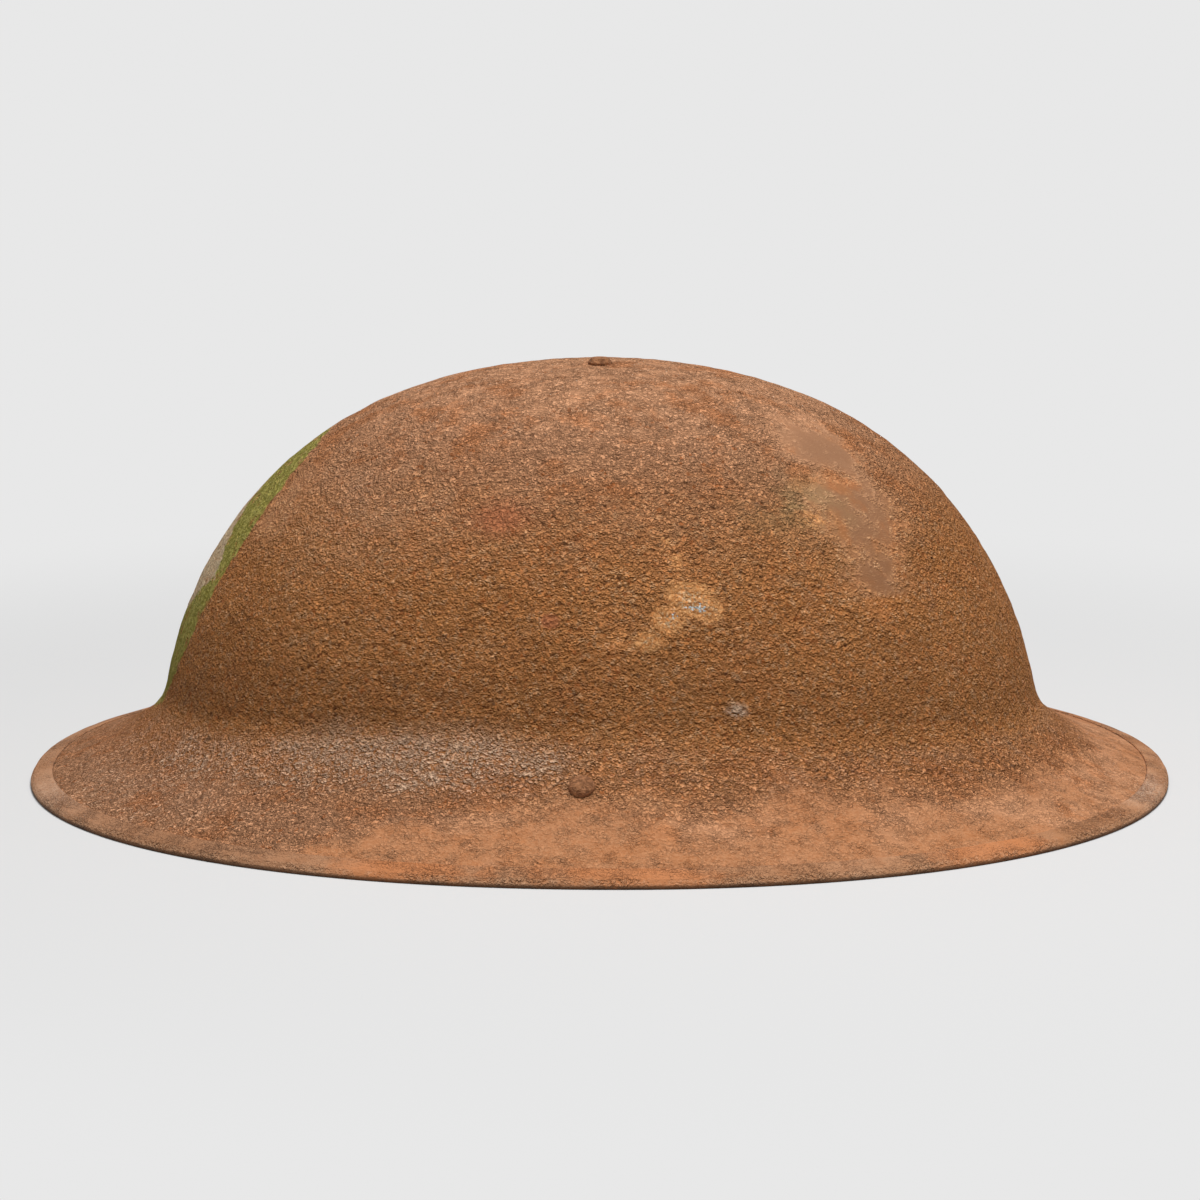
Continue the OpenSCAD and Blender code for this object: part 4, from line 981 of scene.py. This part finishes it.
def make_buffers():
    tubes, tabs = [], []
    half = TUBE_LEN / 2
    outline = [(-half, 2.55), (-half, 4.2), (-half + 0.12, 4.5), (-half + 0.5, 4.72)]
    outline += [(x, 4.75) for x in np.linspace(-half + 1.5, half - 1.5, 9)]
    outline += [(half - 0.5, 4.72), (half - 0.12, 4.5), (half, 4.2), (half, 2.55)]
    outline += [(x, 2.5) for x in np.linspace(half - 0.5, -half + 0.5, 9)]
    angle = around(TUBE_COLUMNS)
    for k in range(TUBE_COUNT):
        e = k * tau / TUBE_COUNT
        curve = ((RUN_A * sin(e)) ** 2 + (RUN_B * cos(e)) ** 2) ** 1.5 / (RUN_A * RUN_B)
        centre = np.array([(RUN_A ** 2 - RUN_B ** 2) / RUN_A * cos(e) ** 3,
                           (RUN_B ** 2 - RUN_A ** 2) / RUN_B * sin(e) ** 3])
        rows = []
        for x, r in outline:
            a = run_facing(e) + x / curve
            out = curve + r * np.cos(angle)
            rows.append(np.stack([centre[0] + out * cos(a), centre[1] + out * sin(a),
                                  TUBE_Z + r * np.sin(angle)], axis=-1))
        tubes.append((np.array(rows), grid_faces(len(rows), TUBE_COLUMNS, closed_rows=True)))
        e = (k + 0.5) * tau / TUBE_COUNT
        lean = atan2(float(dome_r(37.0, e) - dome_r(39.0, e)), 2)
        tabs.append(tab_at(run_point(e), run_facing(e), lean))
    points, faces = join(tubes)
    points += 0.05 * lumps(points, 3.0, 2)[:, None]
    piece("buffer_tubes", points, faces, "rubber", replaces=("rubber_buffers",))
    cord = [run_point(e) for e in around(CORD_COLUMNS)]
    yarn = twisted(cord, CORD_D, closed=True, pitch=4.2, sides=10)
    joined_piece("tube_cord", [yarn], "twine", "buffer_cord")
    joined_piece("cord_tabs", tabs, "tab_leather", "buffer_tabs")


def tab_at(centre, facing, lean):
    """A leather tab round the cord: its ends lie flat on the felt, above and below."""
    foot = [(-4.25, 4.5), (-4.25, 2.6), (-4.1, 1.5), (-3.4, 0.75), (-2.6, 0.9)]
    eye = [(2.5 * cos(a), 2.5 * sin(a)) for a in np.linspace(2.75, -2.75, 17)]
    path = np.array(foot + eye + [(x, -z) for x, z in foot[::-1]])
    rows = []
    for place, out in zip(path, beside(path)):
        thick = 0.35 if abs(place[1]) < 1.1 and place[0] < -2.5 else 0.47
        section = [(-3.3, -thick), (3.3, -thick), (3.5, -thick + 0.2), (3.5, thick - 0.2), (3.3, thick),
                   (-3.3, thick), (-3.5, thick - 0.2), (-3.5, -thick + 0.2)]
        rows.append([(place[0] + out[0] * depth, width, place[1] + out[1] * depth)
                     for width, depth in section])
    rows = np.array(rows)
    faces = capped_faces(len(rows), 8)
    points = rows.reshape(-1, 3)
    c, s = cos(-lean), sin(-lean)
    points = points @ np.array([[c, 0, -s], [0, 1, 0], [s, 0, c]])
    c, s = cos(facing), sin(facing)
    points = points @ np.array([[c, s, 0], [-s, c, 0], [0, 0, 1]])
    return points + centre, faces


def hem_r(t):
    return band_face(HEM_Z, t) - BAND_T - SOFT_GAP - HEM_D / 2


def net_point(u, t):
    r = hem_r(t) + (NET_EYE_R - hem_r(t)) * u
    return turned(r, HEM_Z + NET_RISE * (1 - (1 - u) ** 2), t)


def net_out(u, t):
    climb = net_point(u + 0.001, t) - net_point(u - 0.001, t)
    across = np.stack([-np.sin(t), np.cos(t), 0 * t], axis=-1)
    return unit(np.cross(across, climb))


def make_net():
    strands = []
    layer = TWINE_D / 2 + 0.05
    step = tau / NET_STRANDS
    u = np.linspace(0.0, 1.0, 64)
    reach = np.clip(u, 0.012, 0.985)
    for lean in (-1, 1):
        for k in range(NET_STRANDS):
            t = (k + lean / 4) * step + lean * NET_TWIST * reach
            lift = layer * lean * smooth_step(u, 0, 0.05) * (1 - smooth_step(u, 0.95, 1))
            path = net_point(reach, t) + net_out(reach, t) * lift[:, None]
            strands.append(twisted(path, TWINE_D, strands=2, pitch=3.2, sides=8, lobe=0.16))
    for k in range(NET_STRANDS):
        for j in range(7):
            apart = (j + 0.5) * step
            u = apart / (2 * NET_TWIST)
            t = (k + 0.25) * step + NET_TWIST * u
            centre = net_point(np.array(u), np.array(t))
            strands.append(ball(centre, (1.45, 1.45, 1.35), k * 1.7 + j))
    joined_piece("net_mesh", strands, "net_twine", "head_net")
    t = around(CORD_COLUMNS)
    hem = turned(hem_r(t), HEM_Z, t)
    parts = [twisted(hem, HEM_D, closed=True, pitch=5.0, sides=10)]
    for k in range(HEM_LOOPS):
        a = (k + 0.5) * tau / HEM_LOOPS
        turn = np.linspace(-2.6, 2.6, 11)
        r = hem_r(np.array(a)) - 0.1 + HEM_LOOP_R * np.cos(pi - turn)
        z = HEM_Z + HEM_LOOP_R * np.sin(pi - turn)
        parts.append(twisted(turned(r, z, a + 0.008 * turn), 0.9, sides=6, lobe=0.1))
    joined_piece("hem_cord", parts, "net_twine", "net_hem")
    eye_z = HEM_Z + NET_RISE
    eye = turned(np.full(DRAW_COLUMNS, float(NET_EYE_R)), eye_z, around(DRAW_COLUMNS))
    parts = [twisted(eye, DRAW_D, closed=True, pitch=4.4, sides=10)]
    knot = np.array([NET_EYE_R - 0.6, 0, eye_z - 0.8])
    parts.append(ball(knot, (2.3, 2.8, 2.2), 1.0, 12, 9))
    for side in (-1, 1):
        spots = np.linspace(0, 1, 24)
        tail = np.stack([knot[0] - 2.5 * spots + 1.6 * np.sin(3 * spots), side * (1.2 + 9 * spots ** 1.3),
                         knot[2] - 13 * spots ** 1.4], axis=-1)
        parts.append(twisted(tail, 1.9, pitch=4.0))
        parts.append(ball(tail[-1], (1.4, 1.4, 1.5), side, 10, 7))
    joined_piece("draw_cord", parts, "twine", "net_drawstring")


# Straps, as in the part's source, drawn for the right side and mirrored for the left
BALE_X, SIDE_Y, STRAP_Z = 4, 96.535, 10.5
STRAP_W, STRAP_T = 14, 2
STRAP_CORNER, STRAP_PUFF = 0.55, 0.08
STRAP_LEAD = 5.8
BAR_ANGLE = radians(84.65)
BUCKLE_BAR = np.array([100.753, 9.185])
REACH, FREE_REACH = 95, 90.5
LAYER = STRAP_T + SEAT
FOLD_IN, FOLD_LEN, FOLD_STEPS = 1.15, 24, 14
END_R, TIP_PAST_MIDDLE = 5, 30
KEEPER_ANGLE = radians(65.954)


def strap_at(reach, f):
    return np.array([BALE_X + STRAP_LEAD + (reach - STRAP_LEAD) * sin(f), SIDE_Y * cos(f)])


def strap_out(reach, f):
    out = np.array([sin(f) / (reach - STRAP_LEAD), cos(f) / SIDE_Y])
    return out / np.linalg.norm(out)


def leather_piece(name, points, faces, edges, side, body, replaced):
    """A piece drawn for the right side; edges are its points' distances from the leather's edge."""
    if side < 0:
        points = points * (1, -1, 1)
        faces = flipped(faces)
    piece(name, points, faces, "strap_leather", body, (replaced,), {"edge": edges})


def leather_strip(path, outs, half_widths, side, name, body, replaced):
    """A strip of leather standing on edge: outs are the directions of its faces, in plan."""
    shape = [(1, 1), (0.5, 1), (0, 1), (-0.5, 1), (-1, 1), (-1, -1), (-0.5, -1), (0, -1), (0.5, -1), (1, -1)]
    rows, edges = [], []
    for place, out, w in zip(path, outs, half_widths):
        row, edge = [], []
        for across, face in shape:
            if abs(across) == 1:
                near_edge = (w - min(STRAP_CORNER, w * 0.6)) * across
                offsets = [(near_edge, face * STRAP_T / 2), (w * across, face * (STRAP_T / 2 - STRAP_CORNER))]
                if (across > 0) == (face > 0):
                    offsets.reverse()
            else:
                offsets = [(w * across, face * (STRAP_T / 2 + STRAP_PUFF * (1 - abs(across))))]
            for width, depth in offsets:
                row.append((*(place + out * depth), STRAP_Z + width))
                edge.append(w - abs(width))
        rows.append(row)
        edges.append(edge)
    points = np.array(rows)
    points += 0.05 * lumps(points, 6, 2)[..., None]
    leather_piece(name, points, capped_faces(len(rows), len(rows[0])), edges, side, body, replaced)


def strap_path(reach, end, steps):
    """Points, facing directions and distance along the strap, from its rivet end."""
    path, outs = [], []
    for x in np.linspace(BALE_X - 5, BALE_X + STRAP_LEAD, 14)[:-1]:
        path.append((x, SIDE_Y))
        outs.append((0, 1))
    for f in np.linspace(0, end, steps):
        path.append(strap_at(reach, f))
        outs.append(strap_out(reach, f))
    path = np.array(path)
    return path, np.array(outs), distances(path)


def rounded(run, radius):
    """Half width at a distance from a round end."""
    return np.sqrt(np.maximum(radius ** 2 - (radius - np.minimum(run, radius)) ** 2, 0.05))


def end_width(run):
    """Half width: a round end of 10 mm that widens to the strap's 14 mm."""
    taper = END_R + (STRAP_W / 2 - END_R) * np.clip((run - 10) / 9, 0, 1)
    return np.where(run < END_R, rounded(run, END_R), taper)


def make_straps():
    tip_angle = SIDE + asin(TIP_PAST_MIDDLE / SIDE_Y)
    path, outs, run = strap_path(FREE_REACH, tip_angle, 110)
    half = np.minimum(end_width(run), rounded(run[-1] - run, STRAP_W / 2))
    leather_strip(path, outs, half, 1, "free_strap", "right_strap_half", "right_strap")
    path, outs, run = strap_path(REACH, BAR_ANGLE, 84)
    path, outs, half = list(path), list(outs), list(end_width(run))
    bar_out = strap_out(REACH, BAR_ANGLE)
    facing = atan2(bar_out[1], bar_out[0])
    for i in range(1, FOLD_STEPS):
        a = facing - pi * (1 - i / FOLD_STEPS)
        out = np.array([cos(a), sin(a)])
        path.append(BUCKLE_BAR + (FOLD_IN + STRAP_T / 2) * out)
        outs.append(-out)
        half.append(STRAP_W / 2)
    for i in range(FOLD_STEPS + 1):
        s = FOLD_LEN * i / FOLD_STEPS
        f = BAR_ANGLE - s / REACH
        gap = LAYER + (FOLD_IN * 2 - SEAT) * (1 + cos(pi * min(1, s / 10))) / 2
        out = strap_out(REACH, f)
        path.append(strap_at(REACH, f) + out * gap)
        outs.append(-out)
        half.append(sqrt(max(49 - max(0, s - 19.5) ** 2 * 1.6, 8)))
    leather_strip(path, outs, half, -1, "buckle_strap", "left_strap_half", "left_strap")
    make_keeper()
    for side, name in ((-1, "left"), (1, "right")):
        make_loop(side, name)


def make_loop(side, name):
    """A leather loop over the bale's lower bar, with the strap's end between its leaves."""
    bar_z, leaf, arc = 19.25, 1.9, 2.1
    climb = [(leaf, z) for z in (5.0, 5.15, 5.45, 5.9, 6.6, 7.6, 9, 10.5, 12, 14, 16)]
    over = [(arc * cos(a), bar_z + arc * sin(a)) for a in np.linspace(-0.35, pi + 0.35, 15)]
    path = np.array(climb + over + [(-y, z) for y, z in climb[::-1]])
    rows, edges = [], []
    for (y, z), out in zip(path, -beside(path)):
        w = 5.5 if z >= 10.5 else sqrt(max(30.25 - (10.5 - z) ** 2, 0.02))
        section = [(-w + 0.3, -0.75), (0, -0.78), (w - 0.3, -0.75), (w, -0.4), (w, 0.4), (w - 0.3, 0.75),
                   (0, 0.78), (-w + 0.3, 0.75), (-w, 0.4), (-w, -0.4)]
        rows.append([(BALE_X + width, SIDE_Y + y + out[0] * depth, z + out[1] * depth)
                     for width, depth in section])
        edges.append([w - abs(width) for width, _ in section])
    leather_piece(name + "_loop", np.array(rows), flipped(capped_faces(len(rows), 10)), edges, side,
                  name + "_bale_set", name + "_strap_loop")


def make_keeper():
    at, out = strap_at(REACH, KEEPER_ANGLE), strap_out(REACH, KEEPER_ANGLE)
    inner_t, inner_w, thick, width = STRAP_T * 2 + 0.9, STRAP_W + 0.6, 1.4, 8
    middle = inner_t / 2 - STRAP_T / 2 - SOFT_GAP
    hx, hz = inner_t / 2 + thick / 2, inner_w / 2 + thick / 2
    r = 0.9
    path, normals = [], []
    corners = ((hx - r, hz - r), (-hx + r, hz - r), (-hx + r, -hz + r), (hx - r, -hz + r))
    for start, (cx, cz) in enumerate(corners):
        for a in np.linspace(start * SIDE, (start + 1) * SIDE, 6):
            path.append((cx + r * cos(a), cz + r * sin(a)))
            normals.append((cos(a), sin(a)))
    side = np.array([-out[1], out[0]])
    section = [(-3.6, 0.7), (0, 0.74), (3.6, 0.7), (4.0, 0.35), (4.0, -0.35), (3.6, -0.7), (-3.6, -0.7),
               (-4.0, -0.35), (-4.0, 0.35)]
    rows, edges = [], []
    for (x, z), (nx, nz) in zip(path, normals):
        row = []
        for w, depth in section:
            plan = at + out * (middle + x + nx * depth) + side * w
            row.append((plan[0], -plan[1], STRAP_Z + z + nz * depth))
        rows.append(row)
        edges.append([width / 2 - abs(w) for w, _ in section])
    faces = grid_faces(len(rows), len(section), closed_rows=True)
    leather_piece("keeper_loop", np.array(rows), faces, edges, 1, "keeper", "strap_keeper")


make_shell()
make_strip()
make_liner()
make_buffers()
make_net()
make_straps()

# The CAD nodes that stay get better materials
for row in frame["record"]["subparts"]:
    node = NODES[row["node"]]
    material = LOOKS.get(row["material_slot"])
    if material and row["node"] not in ("steel_shell", "rim_binding"):
        for place in node.material_slots:
            place.material = material
        if not node.material_slots:
            node.data.materials.append(material)

# Floor that fades into the pale background, which the camera, reflections and glass see
BACKGROUND = (0.806, 0.806, 0.806)
NEAR_FLOOR = (0.725, 0.725, 0.725)
BOUNCE = (0.42, 0.42, 0.42)
WORLD_LIGHT = 0.19
LIGHT_SIZE, LIGHT_POWER = 0.9, 29
floor_mesh = bpy.data.meshes.new("floor")
floor_mesh.from_pydata([(-4, -4, 0), (4, -4, 0), (4, 4, 0), (-4, 4, 0)], [], [(0, 1, 2, 3)])
floor = placed("floor", floor_mesh)


def seen_directly(look):
    path = look.node("ShaderNodeLightPath").outputs
    rays = [Value(look, path[f"Is {kind} Ray"]) for kind in ("Camera", "Glossy", "Transmission")]
    return look.math("MAXIMUM", look.math("MAXIMUM", rays[0], rays[1]), rays[2])


def floor_look():
    look = Look("floor")
    away = look.add("ShaderNodeVectorMath", {0: look.place}, out="Value", operation="LENGTH")
    plain = away.rise(0.2, 0.42) * seen_directly(look)
    lit = look.add("ShaderNodeBsdfDiffuse", {"Color": look.mix(seen_directly(look), BOUNCE, NEAR_FLOOR)})
    glow = look.add("ShaderNodeEmission", {"Color": BACKGROUND, "Strength": 1.0})
    return look.shown(look.add("ShaderNodeMixShader", {0: plain, 1: lit, 2: glow}))


def world_look():
    look = Look("world", bpy.data.worlds.new("world"))
    light = look.add("ShaderNodeBackground", {"Color": (1, 1, 1), "Strength": WORLD_LIGHT})
    plain = look.add("ShaderNodeBackground", {"Color": BACKGROUND, "Strength": 1.0})
    both = look.add("ShaderNodeMixShader", {0: seen_directly(look), 1: light, 2: plain})
    return look.shown(both, "ShaderNodeOutputWorld")


floor_mesh.materials.append(floor_look())
scene.world = world_look()

light_data = bpy.data.lights.new("top_light", "AREA")
light_data.shape = "SQUARE"
light_data.size = LIGHT_SIZE
light_data.energy = LIGHT_POWER
aim(placed("top_light", light_data), (0.2, -0.2, 1.7), (0, 0, 0.05))
